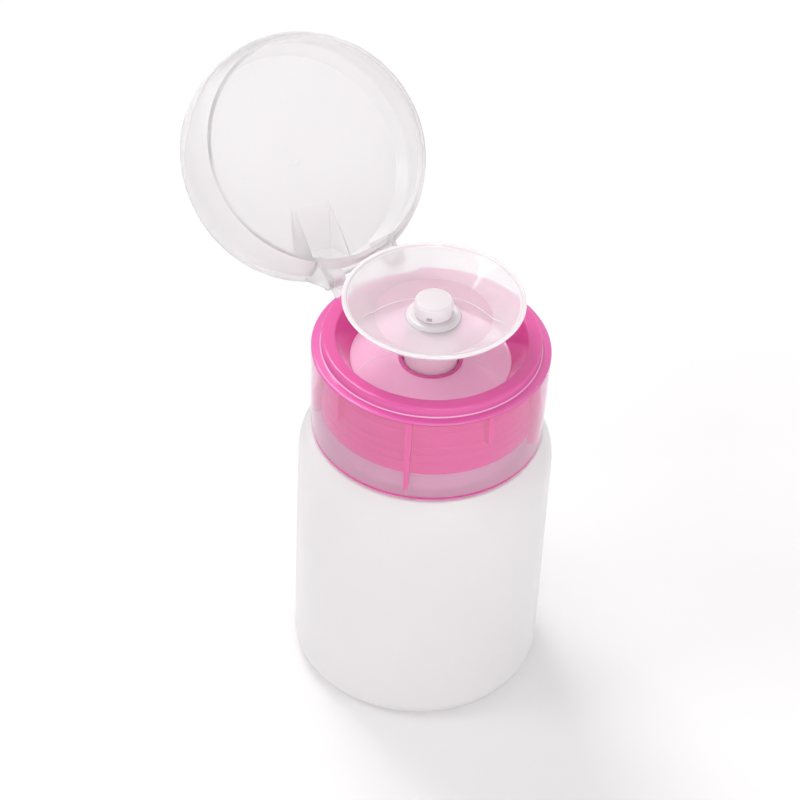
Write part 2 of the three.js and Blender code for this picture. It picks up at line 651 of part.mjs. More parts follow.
function pistonRod() {
  const stubTop = LEDGE - STEM_BOTTOM + ROD_SOCKET_DEPTH - GAP;
  const flangeTop = ROD_FLANGE_BOTTOM + ROD_FLANGE_THICKNESS;
  const neckTop = LEDGE - STEM_BOTTOM - GAP;
  const pilotBottom = ROD_FLANGE_BOTTOM - ROD_PILOT_LENGTH;
  return revolve([
    [ROD_BORE, pilotBottom],
    [ROD_PILOT_RADIUS, pilotBottom],
    [ROD_PILOT_RADIUS, ROD_FLANGE_BOTTOM],
    [ROD_FLANGE_RADIUS, ROD_FLANGE_BOTTOM],
    [ROD_FLANGE_RADIUS, flangeTop],
    [ROD_NECK_RADIUS, flangeTop],
    [ROD_NECK_RADIUS, neckTop],
    [ROD_STUB_RADIUS, neckTop],
    [ROD_STUB_RADIUS, stubTop],
    [ROD_BORE, stubTop],
  ], SMALL_SEGMENTS);
}

function pumpChamber() {
  const bottom = LEDGE - CHAMBER_BOTTOM;
  const upperBottom = LEDGE - CHAMBER_UPPER_BOTTOM;
  const floor = bottom + CHAMBER_FLOOR_RISE;
  const seatEdge = floor - CHAMBER_SEAT_RISE;
  const socketRadius = DIP_TUBE_RADIUS + GAP;
  const socketTop = bottom - CHAMBER_FLOOR_RISE;
  const socketBottom = socketTop - TUBE_SOCKET_LENGTH;
  const boreStep = CHAMBER_RADIUS - CHAMBER_BORE;
  return revolve([
    [socketRadius, socketBottom],
    [socketRadius + TUBE_SOCKET_WALL, socketBottom],
    [socketRadius + TUBE_SOCKET_WALL, socketTop],
    [CHAMBER_RADIUS, bottom],
    [CHAMBER_RADIUS, upperBottom - CHAMBER_TAPER],
    [CHAMBER_UPPER_RADIUS, upperBottom],
    [CHAMBER_UPPER_RADIUS, CHAMBER_TOP - CHAMBER_HEAD_HEIGHT],
    [CHAMBER_HEAD_RADIUS, CHAMBER_TOP - CHAMBER_HEAD_HEIGHT],
    [CHAMBER_HEAD_RADIUS, CHAMBER_TOP],
    [CHAMBER_SEAL_BORE, CHAMBER_TOP],
    [CHAMBER_SEAL_BORE, CHAMBER_TOP - CHAMBER_SEAL_DEPTH],
    [CHAMBER_UPPER_BORE, CHAMBER_TOP - CHAMBER_SEAL_DEPTH],
    [CHAMBER_UPPER_BORE, upperBottom + boreStep],
    [CHAMBER_BORE, upperBottom + boreStep - CHAMBER_TAPER],
    [CHAMBER_BORE, floor],
    [INLET_BORE, seatEdge],
    [INLET_BORE, socketTop],
    [socketRadius, socketTop],
  ], SMALL_SEGMENTS);
}

function inletBallHeight() {
  const seatEdge = LEDGE - CHAMBER_BOTTOM + CHAMBER_FLOOR_RISE - CHAMBER_SEAT_RISE;
  return restingHeight(seatEdge, INLET_BORE, INLET_BALL_RADIUS);
}

function inletBall() {
  return ball(INLET_BALL_RADIUS, inletBallHeight());
}

function cagePlateBottom() {
  return inletBallHeight() + INLET_BALL_RADIUS + BALL_LIFT + GAP;
}

function ballCage() {
  const bottom = LEDGE - CHAMBER_BOTTOM + CHAMBER_FLOOR_RISE + GAP;
  const plateBottom = cagePlateBottom();
  const top = plateBottom + CAGE_PLATE_THICKNESS;
  const whole = revolve([
    [CAGE_HOLE_RADIUS, plateBottom],
    [CAGE_RADIUS - CAGE_WALL, plateBottom],
    [CAGE_RADIUS - CAGE_WALL, bottom],
    [CAGE_RADIUS, bottom],
    [CAGE_RADIUS, top],
    [CAGE_HOLE_RADIUS, top],
  ], SMALL_SEGMENTS);
  const ports = [];
  for (let i = 0; i < CAGE_PORT_COUNT; i += 1) {
    const angle = i * (2 * Math.PI / CAGE_PORT_COUNT);
    const outer = SPRING_RADIUS - SPRING_WIRE;
    ports.push(radialBox(0, outer, CAGE_PORT_WIDTH, plateBottom - GAP, top + OVERRUN, angle));
  }
  return cutAway(whole, ports);
}

/** The centre line of the return spring, from its lower end to its upper end. */
function springLine() {
  const bottom = cagePlateBottom() + CAGE_PLATE_THICKNESS + GAP;
  const top = ROD_FLANGE_BOTTOM - GAP;
  const curlBottom = bottom + SPRING_WIRE;
  const curlTop = top - SPRING_WIRE;
  const points = [new THREE.Vector3(SPRING_RADIUS, 0, bottom)];
  const count = SPRING_CURLS * SPRING_STEPS;
  for (let i = 0; i <= count; i += 1) {
    const angle = (i / SPRING_STEPS) * 2 * Math.PI;
    points.push(new THREE.Vector3(
      SPRING_RADIUS * Math.cos(angle),
      SPRING_RADIUS * Math.sin(angle),
      THREE.MathUtils.lerp(curlBottom, curlTop, i / count),
    ));
  }
  points.push(new THREE.Vector3(SPRING_RADIUS, 0, top));
  return points;
}

/** The return spring as one unbroken tube round its centre line. */
function springGeometry() {
  const line = springLine();
  const positions = [];
  const index = [];
  line.forEach((point, i) => {
    const before = line[Math.max(i - 1, 0)];
    const after = line[Math.min(i + 1, line.length - 1)];
    const isEnd = i === 0 || i === line.length - 1;
    const forward = isEnd ? new THREE.Vector3(0, 0, 1) : after.clone().sub(before).normalize();
    const outward = new THREE.Vector3(point.x, point.y, 0).normalize();
    const across = new THREE.Vector3().crossVectors(forward, outward).normalize();
    const side = new THREE.Vector3().crossVectors(across, forward);
    for (let j = 0; j < SPRING_SIDES; j += 1) {
      const angle = (j / SPRING_SIDES) * 2 * Math.PI;
      const place = point.clone();
      place.addScaledVector(side, (SPRING_WIRE / 2) * Math.cos(angle));
      place.addScaledVector(across, (SPRING_WIRE / 2) * Math.sin(angle));
      positions.push(place.x, place.y, place.z);
    }
  });
  for (let i = 0; i < line.length - 1; i += 1) {
    for (let j = 0; j < SPRING_SIDES; j += 1) {
      const a = i * SPRING_SIDES + j;
      const b = i * SPRING_SIDES + (j + 1) % SPRING_SIDES;
      index.push(a, b, b + SPRING_SIDES, a, b + SPRING_SIDES, a + SPRING_SIDES);
    }
  }
  const last = (line.length - 1) * SPRING_SIDES;
  for (let j = 1; j < SPRING_SIDES - 1; j += 1) {
    index.push(0, j + 1, j);
    index.push(last, last + j, last + j + 1);
  }
  const geometry = new THREE.BufferGeometry();
  geometry.setAttribute('position', new THREE.Float32BufferAttribute(positions, 3));
  geometry.setIndex(index);
  geometry.computeVertexNormals();
  return geometry;
}

/** The least gap between neighbouring curls, measured on the points of the centre line. */
function springGap() {
  const line = springLine();
  let least = Infinity;
  for (let i = 0; i < line.length; i += 1) {
    for (let j = i + SPRING_STEPS / 2; j < line.length; j += 1) {
      least = Math.min(least, line[i].distanceTo(line[j]) - SPRING_WIRE);
    }
  }
  return least;
}

function dipTube() {
  const top = LEDGE - CHAMBER_BOTTOM - CHAMBER_FLOOR_RISE - GAP;
  const bottom = BOTTLE_WALL + DIP_TUBE_FOOT;
  return revolve([
    [DIP_TUBE_BORE, bottom],
    [DIP_TUBE_RADIUS, bottom],
    [DIP_TUBE_RADIUS, top],
    [DIP_TUBE_BORE, top],
  ], SMALL_SEGMENTS);
}

const FROSTED = { color: 0xf2f0f1, roughness: 0.55, metalness: 0 };
const PINK = { color: 0xe6509f, roughness: 0.2, metalness: 0 };
const CLEAR = { color: 0xf0eff2, roughness: 0.12, metalness: 0 };
const WHITE = { color: 0xf4f1f4, roughness: 0.3, metalness: 0 };
const SOFT_WHITE = { color: 0xeceaec, roughness: 0.5, metalness: 0 };
const STEEL = { color: 0xb9bcc0, roughness: 0.25, metalness: 1 };

/** A named mesh with a material of its own. */
function mesh(name, geometry, look) {
  const made = new THREE.Mesh(geometry, new THREE.MeshStandardMaterial(look));
  made.name = name;
  return made;
}

const pump = new THREE.Group();
pump.add(mesh('bottle', toGeometry(bottle()), FROSTED));
pump.add(mesh('collar', toGeometry(collar()), PINK));
pump.add(mesh('neck_gasket', toGeometry(neckGasket()), SOFT_WHITE));
pump.add(mesh('hinge_base', toGeometry(hingeBase()), CLEAR));
pump.add(mesh('dish', toGeometry(dish()), CLEAR));
pump.add(mesh('outlet_cap', toGeometry(outletCap()), WHITE));
pump.add(mesh('outlet_ball', toGeometry(outletBall()), STEEL));
pump.add(mesh('stem', toGeometry(stem()), WHITE));
pump.add(mesh('stem_seal', toGeometry(stemSeal()), SOFT_WHITE));
pump.add(mesh('piston', toGeometry(piston()), SOFT_WHITE));
pump.add(mesh('piston_rod', toGeometry(pistonRod()), WHITE));
pump.add(mesh('return_spring', springGeometry(), STEEL));
pump.add(mesh('pump_chamber', toGeometry(pumpChamber()), WHITE));
pump.add(mesh('inlet_ball', toGeometry(inletBall()), STEEL));
pump.add(mesh('ball_cage', toGeometry(ballCage()), SOFT_WHITE));
pump.add(mesh('dip_tube', toGeometry(dipTube()), SOFT_WHITE));

// The lid is drawn closed over the collar and turned open about its pivot.
const lidMesh = mesh('lid', toGeometry(lid()), CLEAR);
lidMesh.position.set(0, -PIVOT_REACH, -(PIVOT_HEIGHT - GAP));
const hinge = new THREE.Group();
hinge.position.set(0, PIVOT_REACH, LEDGE + PIVOT_HEIGHT);
hinge.rotation.x = -OPEN_ANGLE;
hinge.add(lidMesh);
pump.add(hinge);

console.log(`return_spring: least gap to itself ${springGap().toFixed(3)} mm`);

export default pump;
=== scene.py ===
import json
import logging
import math
from collections.abc import Callable
from dataclasses import dataclass, field
from enum import Enum

import bmesh
import bpy
from mathutils import Matrix, Vector

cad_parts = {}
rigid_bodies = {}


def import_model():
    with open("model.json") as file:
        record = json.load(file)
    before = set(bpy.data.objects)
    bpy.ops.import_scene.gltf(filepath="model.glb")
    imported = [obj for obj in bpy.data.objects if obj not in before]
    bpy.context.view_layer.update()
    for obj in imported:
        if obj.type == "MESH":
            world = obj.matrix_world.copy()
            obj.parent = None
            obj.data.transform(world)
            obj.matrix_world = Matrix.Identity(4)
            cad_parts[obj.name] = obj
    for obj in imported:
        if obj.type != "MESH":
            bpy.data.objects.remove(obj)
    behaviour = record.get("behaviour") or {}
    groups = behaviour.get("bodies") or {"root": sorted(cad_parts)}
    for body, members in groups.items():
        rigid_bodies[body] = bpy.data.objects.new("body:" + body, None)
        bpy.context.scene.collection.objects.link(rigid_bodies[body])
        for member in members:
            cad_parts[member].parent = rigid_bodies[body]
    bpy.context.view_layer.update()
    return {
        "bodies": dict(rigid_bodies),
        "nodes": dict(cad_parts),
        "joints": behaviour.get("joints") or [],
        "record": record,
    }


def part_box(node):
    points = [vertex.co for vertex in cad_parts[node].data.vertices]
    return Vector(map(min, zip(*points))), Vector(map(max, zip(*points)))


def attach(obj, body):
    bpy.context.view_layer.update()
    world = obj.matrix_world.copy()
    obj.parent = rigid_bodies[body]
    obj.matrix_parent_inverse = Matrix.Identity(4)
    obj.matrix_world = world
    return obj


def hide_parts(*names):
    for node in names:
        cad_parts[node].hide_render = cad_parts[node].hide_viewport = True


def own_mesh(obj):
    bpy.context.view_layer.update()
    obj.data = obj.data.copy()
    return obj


LOG = logging.getLogger("remover_pump")
MM = 0.001
GAP = 0.3 * MM
SLACK = 0.1 * MM
FINE_EDGE = 0.15 * MM
SOFT_EDGE = 0.3 * MM
THREAD_ROOT = 0.2 * MM
OVERSHOOT = 1.2
FINE_TURN = 160
SMALL_TURN = 72
FILLET_STEPS = 5
FILLET_SHARE = 0.49
CURVE_STEPS = 14
SMOOTH_ANGLE = math.radians(32)
WIRE_ANGLE = SMOOTH_ANGLE * 1.5

Point = tuple[float, float]
Corner = tuple[float, float, float]
Course = tuple[Point, Point, Point]
Color = tuple[float, float, float]


class Slot(Enum):
    """The record's material slots."""

    FROSTED = "frosted_shell"
    PINK = "pink_plastic"
    CLEAR = "clear_plastic"
    WHITE = "white_plastic"
    SOFT = "soft_plastic"
    GASKET = "gasket_foam"
    STEEL = "steel"


class Look(Enum):
    """The finishes. A moulding that looks deeper where it is thick has several, and some paint
    light or shade: the pale floor pink is partly painted light and paints a highlight on the
    ridge's foot, the darker crown white paints shade on the outlet cap's top, the pale pocket
    clear paints light on the lid's pocket and hinge side, and the pale line pink and the milky
    rim finish on the raised lines paint highlights and reflections.
    """

    FROSTED_BOTTLE = "frosted_bottle"
    PINK_RIM = "pink_rim"
    PINK_LEDGE = "pink_ledge"
    PINK_THREAD = "pink_thread_skirt"
    PINK_SKIRT = "pink_outer_skirt"
    PINK_FLOOR_PAINTED_LIGHT = "pink_recess_floor"
    PINK_RIB = "pink_rib"
    PINK_PAINTED_GLINT = "pink_flow_line"
    CLEAR_LID = "clear_lid"
    CLEAR_POCKET = "clear_pocket"
    CLEAR_HINGE = "clear_hinge"
    MILKY_DISH = "milky_dish"
    MILKY_WALL = "milky_dish_wall"
    MILKY_RIM_AND_GLINT = "milky_dish_rim"
    WHITE_MOULDING = "white_moulding"
    WHITE_CROWN = "white_crown"
    SOFT_PLASTIC = "natural_soft_plastic"
    LINER = "foamed_liner"
    DRAWN_STEEL = "drawn_steel"


class Cut(Enum):
    """What a boolean does with its tools."""

    ADD = "UNION"
    REMOVE = "DIFFERENCE"
    KEEP = "INTERSECT"


def fillet(corners: list[Corner], closed: bool) -> list[Point]:
    """Round the corners of an outline.

    Args:
        corners: Radius, height and corner radius of each corner, in metres.
        closed: Whether the last corner joins the first.

    Returns:
        The points of the rounded outline.
    """
    points: list[Point] = []
    count = len(corners)
    for i, (x, y, rounding) in enumerate(corners):
        is_end = not closed and i in (0, count - 1)
        if rounding <= 0 or is_end:
            points.append((x, y))
            continue
        here = Vector((x, y))
        before = Vector(corners[i - 1][:2]) - here
        after = Vector(corners[(i + 1) % count][:2]) - here
        half = before.angle(after) / 2
        most = (before.length * FILLET_SHARE, after.length * FILLET_SHARE)
        reach = min(rounding / math.tan(half), *most)
        radius = reach * math.tan(half)
        inward = (before.normalized() + after.normalized()).normalized()
        middle = here + inward * (radius / math.sin(half))
        start = here + before.normalized() * reach - middle
        end = here + after.normalized() * reach - middle
        sweep = start.angle_signed(end)
        for step in range(FILLET_STEPS + 1):
            turned = Matrix.Rotation(-sweep * step / FILLET_STEPS, 2) @ start
            points.append((middle.x + turned.x, middle.y + turned.y))
    return points


def circle(radius: float, y: float, z: float) -> list[Point]:
    """Work out the outline of a small circle in the YZ plane.

    Args:
        radius: The circle's radius.
        y: Where its middle is along Y.
        z: How high its middle is.

    Returns:
        The points of the outline.
    """
    steps = SMALL_TURN // 2
    points: list[Point] = []
    for i in range(steps):
        angle = 2 * math.pi * i / steps
        points.append((y + radius * math.cos(angle), z + radius * math.sin(angle)))
    return points


@dataclass(frozen=True)
class Arc:
    """Part of a circle in the YZ plane, with its angles in degrees."""

    radius: float
    start: float
    sweep: float
    steps: int

    def about(self, y: float, z: float) -> list[Point]:
        """Work out the arc's points.

        Args:
            y: Where the arc's middle is along Y.
            z: How high its middle is.

        Returns:
            The points from the arc's start to its end.
        """
        points: list[Point] = []
        for i in range(self.steps + 1):
            angle = math.radians(self.start + self.sweep * i / self.steps)
            points.append((y + self.radius * math.cos(angle), z + self.radius * math.sin(angle)))
        return points


def curve_through(course: Course) -> list[Point]:
    """Work out the points of a smooth curve.

    Args:
        course: The three points that the curve passes through.

    Returns:
        The points from the first to the last.
    """
    start, middle, end = (Vector(corner) for corner in course)
    pull = 2 * middle - (start + end) / 2
    points: list[Point] = []
    for i in range(CURVE_STEPS + 1):
        share = i / CURVE_STEPS
        place = start * (1 - share) ** 2 + pull * 2 * share * (1 - share) + end * share ** 2
        points.append((place.x, place.y))
    return points


def new_object(name: str, data: bpy.types.ID) -> bpy.types.Object:
    """Put a mesh, lamp or camera into the scene.

    Args:
        name: The new object's name.
        data: What it shows or is.

    Returns:
        The new object.
    """
    made = bpy.data.objects.new(name, data)
    bpy.context.scene.collection.objects.link(made)
    return made


def shade(made: bpy.types.Object, angle: float = SMOOTH_ANGLE) -> None:
    """Shade an object smoothly.

    Args:
        made: The object.
        angle: The angle past which an edge stays sharp.
    """
    for face in made.data.polygons:
        face.use_smooth = True
    made.data.set_sharp_from_angle(angle=angle)


def finished(name: str, shape: bmesh.types.BMesh) -> bpy.types.Object:
    """Turn a mesh in the making into an object.

    Args:
        name: The new object's name.
        shape: The mesh, which is freed.

    Returns:
        The new object, with flat faces.
    """
    bmesh.ops.recalc_face_normals(shape, faces=shape.faces)
    mesh = bpy.data.meshes.new(name)
    shape.to_mesh(mesh)
    shape.free()
    return new_object(name, mesh)


def skin(shape: bmesh.types.BMesh, rings: list[list[bmesh.types.BMVert]]) -> None:
    """Join rings of corners into a closed body with flat ends.

    Args:
        shape: The mesh in the making.
        rings: The rings in order, each with the same number of corners.
    """
    count = len(rings[0])
    for low, high in zip(rings, rings[1:]):
        for j in range(count):
            k = (j + 1) % count
            shape.faces.new([low[j], low[k], high[k], high[j]])
    shape.faces.new(rings[0])
    shape.faces.new(rings[-1][::-1])


def lathe(name: str, outline: list[Point], turns: int = FINE_TURN) -> bpy.types.Object:
    """Turn an outline about the Z axis into a closed body.

    Args:
        name: The new object's name.
        outline: Radius and height of each point, in metres, going round anticlockwise. An
            outline that starts on the axis also ends there.
        turns: How many steps make a full turn.

    Returns:
        The new object.
    """
    shape = bmesh.new()
    rings: list[list[bmesh.types.BMVert]] = []
    for radius, height in outline:
        if radius == 0:
            rings.append([shape.verts.new((0, 0, height))])
            continue
        ring = []
        for i in range(turns):
            angle = 2 * math.pi * i / turns
            place = (radius * math.cos(angle), radius * math.sin(angle), height)
            ring.append(shape.verts.new(place))
        rings.append(ring)
    pairs = list(zip(rings, rings[1:]))
    if outline[0][0] != 0:
        pairs.append((rings[-1], rings[0]))
    for low, high in pairs:
        for i in range(turns):
            j = (i + 1) % turns
            corners = [
                low[i % len(low)], low[j % len(low)], high[j % len(high)], high[i % len(high)],
            ]
            unique = list(dict.fromkeys(corners))
            if len(unique) > 2:
                shape.faces.new(unique)
    made = finished(name, shape)
    shade(made)
    return made


def prism(name: str, outline: list[Point], start: float, end: float) -> bpy.types.Object:
    """Make a prism along X.

    Args:
        name: The new object's name.
        outline: Its outline in the YZ plane.
        start: Where it starts along X.
        end: Where it ends.

    Returns:
        The new object.
    """
    shape = bmesh.new()
    low = [shape.verts.new((start, y, z)) for y, z in outline]
    high = [shape.verts.new((end, y, z)) for y, z in outline]
    shape.faces.new(low)
    shape.faces.new(high[::-1])
    count = len(outline)
    for i in range(count):
        j = (i + 1) % count
        shape.faces.new([low[i], low[j], high[j], high[i]])
    return finished(name, shape)


def both_sides(
    name: str, outline: list[Point], inner: float, outer: float,
) -> list[bpy.types.Object]:
    """Make the same prism on both sides of the middle."""
    return [prism(name, outline, inner, outer), prism(name, outline, -outer, -inner)]


def block(name: str, low: Vector, high: Vector) -> bpy.types.Object:
    """Make a block between two corners."""
    outline = [(low.y, low.z), (high.y, low.z), (high.y, high.z), (low.y, high.z)]
    return prism(name, outline, low.x, high.x)


def turn_about_z(made: bpy.types.Object, angle: float) -> bpy.types.Object:
    """Turn an object's mesh about the Z axis."""
    made.data.transform(Matrix.Rotation(angle, 4, "Z"))
    return made


def carve(target: bpy.types.Object, tools: list[bpy.types.Object], cut: Cut) -> None:
    """Add tools to an object, or cut them from it, and delete them.

    Args:
        target: The object that changes.
        tools: The closed bodies that it is joined with or cut by.
        cut: Whether the tools are added, removed or crossed with the target.
    """
    for tool in tools:
        modifier = target.modifiers.new("cut", "BOOLEAN")
        modifier.operation = cut.value
        modifier.solver = "EXACT"
        modifier.object = tool
        graph = bpy.context.evaluated_depsgraph_get()
        result = bpy.data.meshes.new_from_object(target.evaluated_get(graph))
        target.modifiers.clear()
        old = target.data
        target.data = result
        result.name = target.name
        bpy.data.meshes.remove(old)
        bpy.data.objects.remove(tool)
    shade(target)


@dataclass(frozen=True)
class Thread:
    """One run of a screw thread, whose ends fade out. A reach below zero points inward."""

    radius: float
    reach: float
    start: float
    turns: float = 1.75
    pitch: float = 3.5 * MM
    half: float = 0.75 * MM
    crest_half: float = 0.25 * MM
    least_reach: float = 0.05
    fade_rate: float = 12

    def build(self, name: str) -> bpy.types.Object:
        """Make the thread.

        Args:
            name: The new object's name.

        Returns:
            The new object.
        """
        shape = bmesh.new()
        steps = int(self.turns * FINE_TURN)
        rings = []
        for i in range(steps + 1):
            share = i / steps
            angle = 2 * math.pi * self.turns * share
            fade = min(
                1.0,
                self.least_reach + share * self.fade_rate,
                self.least_reach + (1 - share) * self.fade_rate,
            )
            middle = self.start + self.pitch * self.turns * share
            crest = self.radius + self.reach * fade
            rings.append([
                shape.verts.new((radius * math.cos(angle), radius * math.sin(angle), height))
                for radius, height in (
                    (self.radius, middle - self.half), (crest, middle - self.crest_half),
                    (crest, middle + self.crest_half), (self.radius, middle + self.half),
                )
            ])
        skin(shape, rings)
        made = finished(name, shape)
        shade(made)
        return made


class Effect:
    """A shader node group in the making."""

    def __init__(self, name: str, inputs: dict[str, float], output: str) -> None:
        """Make the group's sockets.

        Args:
            name: The group's name.
            inputs: The name and the first value of each input.
            output: The name of its one output.
        """
        kind = "NodeSocketFloat"
        self.tree = bpy.data.node_groups.new(name, "ShaderNodeTree")
        for label, value in inputs.items():
            made = self.tree.interface.new_socket(label, in_out="INPUT", socket_type=kind)
            made.default_value = value
        self.tree.interface.new_socket(output, in_out="OUTPUT", socket_type=kind)
        self.entry = self.tree.nodes.new("NodeGroupInput").outputs
        self.leave = self.tree.nodes.new("NodeGroupOutput").inputs
        self.place = self.tree.nodes.new("ShaderNodeTexCoord").outputs["Object"]

    def noise(self, scale: str, detail: float, roughness: float = 0.5) -> bpy.types.NodeSocket:
        """Add noise that lies fixed on the object.

        Args:
            scale: The name of the input that gives its scale.
            detail: How many finer layers it has.
            roughness: How strong the finer layers are.

        Returns:
            The socket that gives the noise.
        """
        made = self.tree.nodes.new("ShaderNodeTexNoise")
        made.inputs["Detail"].default_value = detail
        made.inputs["Roughness"].default_value = roughness
        self.tree.links.new(self.place, made.inputs["Vector"])
        self.tree.links.new(self.entry[scale], made.inputs["Scale"])
        return made.outputs["Fac"]


def grain_group() -> bpy.types.ShaderNodeTree:
    """Build the group that gives a moulded surface its fine texture and slow waviness.

    Returns:
        A group with inputs Grain Scale, Wave Scale and Wave Share, and output Height.
    """
    inputs = {"Grain Scale": 900.0, "Wave Scale": 60.0, "Wave Share": 0.6}
    effect = Effect("mould_grain", inputs, "Height")
    mix = effect.tree.nodes.new("ShaderNodeMix")
    links = effect.tree.links
    links.new(effect.entry["Wave Share"], mix.inputs["Factor"])
    links.new(effect.noise("Grain Scale", detail=4.0), mix.inputs["A"])
    links.new(effect.noise("Wave Scale", detail=1.0), mix.inputs["B"])
    links.new(mix.outputs["Result"], effect.leave["Height"])
    return effect.tree


def handling_group() -> bpy.types.ShaderNodeTree:
    """Build the group that makes faint scuffs and dull patches.

    Returns:
        A group with inputs Scale, Low and High, and output Value, which runs from Low to High.
    """
    effect = Effect("handling_marks", {"Scale": 90.0, "Low": 0.1, "High": 0.2}, "Value")
    spread = effect.tree.nodes.new("ShaderNodeMapRange")
    spread.inputs["From Min"].default_value = 0.42
    spread.inputs["From Max"].default_value = 0.68
    links = effect.tree.links
    links.new(effect.noise("Scale", detail=6.0, roughness=0.65), spread.inputs["Value"])
    links.new(effect.entry["Low"], spread.inputs["To Min"])
    links.new(effect.entry["High"], spread.inputs["To Max"])
    links.new(spread.outputs["Result"], effect.leave["Value"])
    return effect.tree


@dataclass(frozen=True)
class EffectGroups:
    """The shader node groups that every finish uses."""

    mould_grain: bpy.types.ShaderNodeTree
    handling: bpy.types.ShaderNodeTree


@dataclass(frozen=True)
class Grain:
    """A surface's relief: its fine texture, its slow waviness and how deep both are."""

    scale: float = 900.0
    wave_scale: float = 60.0
    wave_share: float = 0.6
    bump: float = 0.1
    depth: float = 0.05 * MM


@dataclass(frozen=True)
class Finish:
    """A moulded or drawn finish, from clear plastic to steel."""

    slot: Slot
    color: Color
    shade_color: Color
    roughness: float
    scuffed: float
    transmission: float = 0.0
    ior: float = 1.49
    metallic: float = 0.0
    sheen: float = 0.0
    grain: Grain = Grain()

    def build(self, name: str, groups: EffectGroups) -> bpy.types.Material:
        """Make the material.

        Args:
            name: The material's name.
            groups: The shared effect groups.

        Returns:
            The new material.
        """
        made = bpy.data.materials.new(name)
        made.use_nodes = True
        nodes, links = made.node_tree.nodes, made.node_tree.links
        surface = nodes["Principled BSDF"].inputs
        surface["Metallic"].default_value = self.metallic
        surface["IOR"].default_value = self.ior
        surface["Transmission Weight"].default_value = self.transmission
        surface["Sheen Weight"].default_value = self.sheen
        handling = nodes.new("ShaderNodeGroup")
        handling.node_tree = groups.handling
        handling.inputs["Low"].default_value = self.roughness
        handling.inputs["High"].default_value = self.scuffed
        links.new(handling.outputs["Value"], surface["Roughness"])
        grain = nodes.new("ShaderNodeGroup")
        grain.node_tree = groups.mould_grain
        grain.inputs["Grain Scale"].default_value = self.grain.scale
        grain.inputs["Wave Scale"].default_value = self.grain.wave_scale
        grain.inputs["Wave Share"].default_value = self.grain.wave_share
        tint = nodes.new("ShaderNodeMix")
        tint.data_type = "RGBA"
        tint.inputs["A"].default_value = (*self.color, 1)
        tint.inputs["B"].default_value = (*self.shade_color, 1)
        links.new(grain.outputs["Height"], tint.inputs["Factor"])
        links.new(tint.outputs["Result"], surface["Base Color"])
        bump = nodes.new("ShaderNodeBump")
        bump.inputs["Strength"].default_value = self.grain.bump
        bump.inputs["Distance"].default_value = self.grain.depth
        links.new(grain.outputs["Height"], bump.inputs["Height"])
        links.new(bump.outputs["Normal"], surface["Normal"])
        return made


PINK_GRAIN = Grain(700.0, 45.0, 0.9, 0.08)
CLEAR_GRAIN = Grain(700.0, 40.0, 0.9)

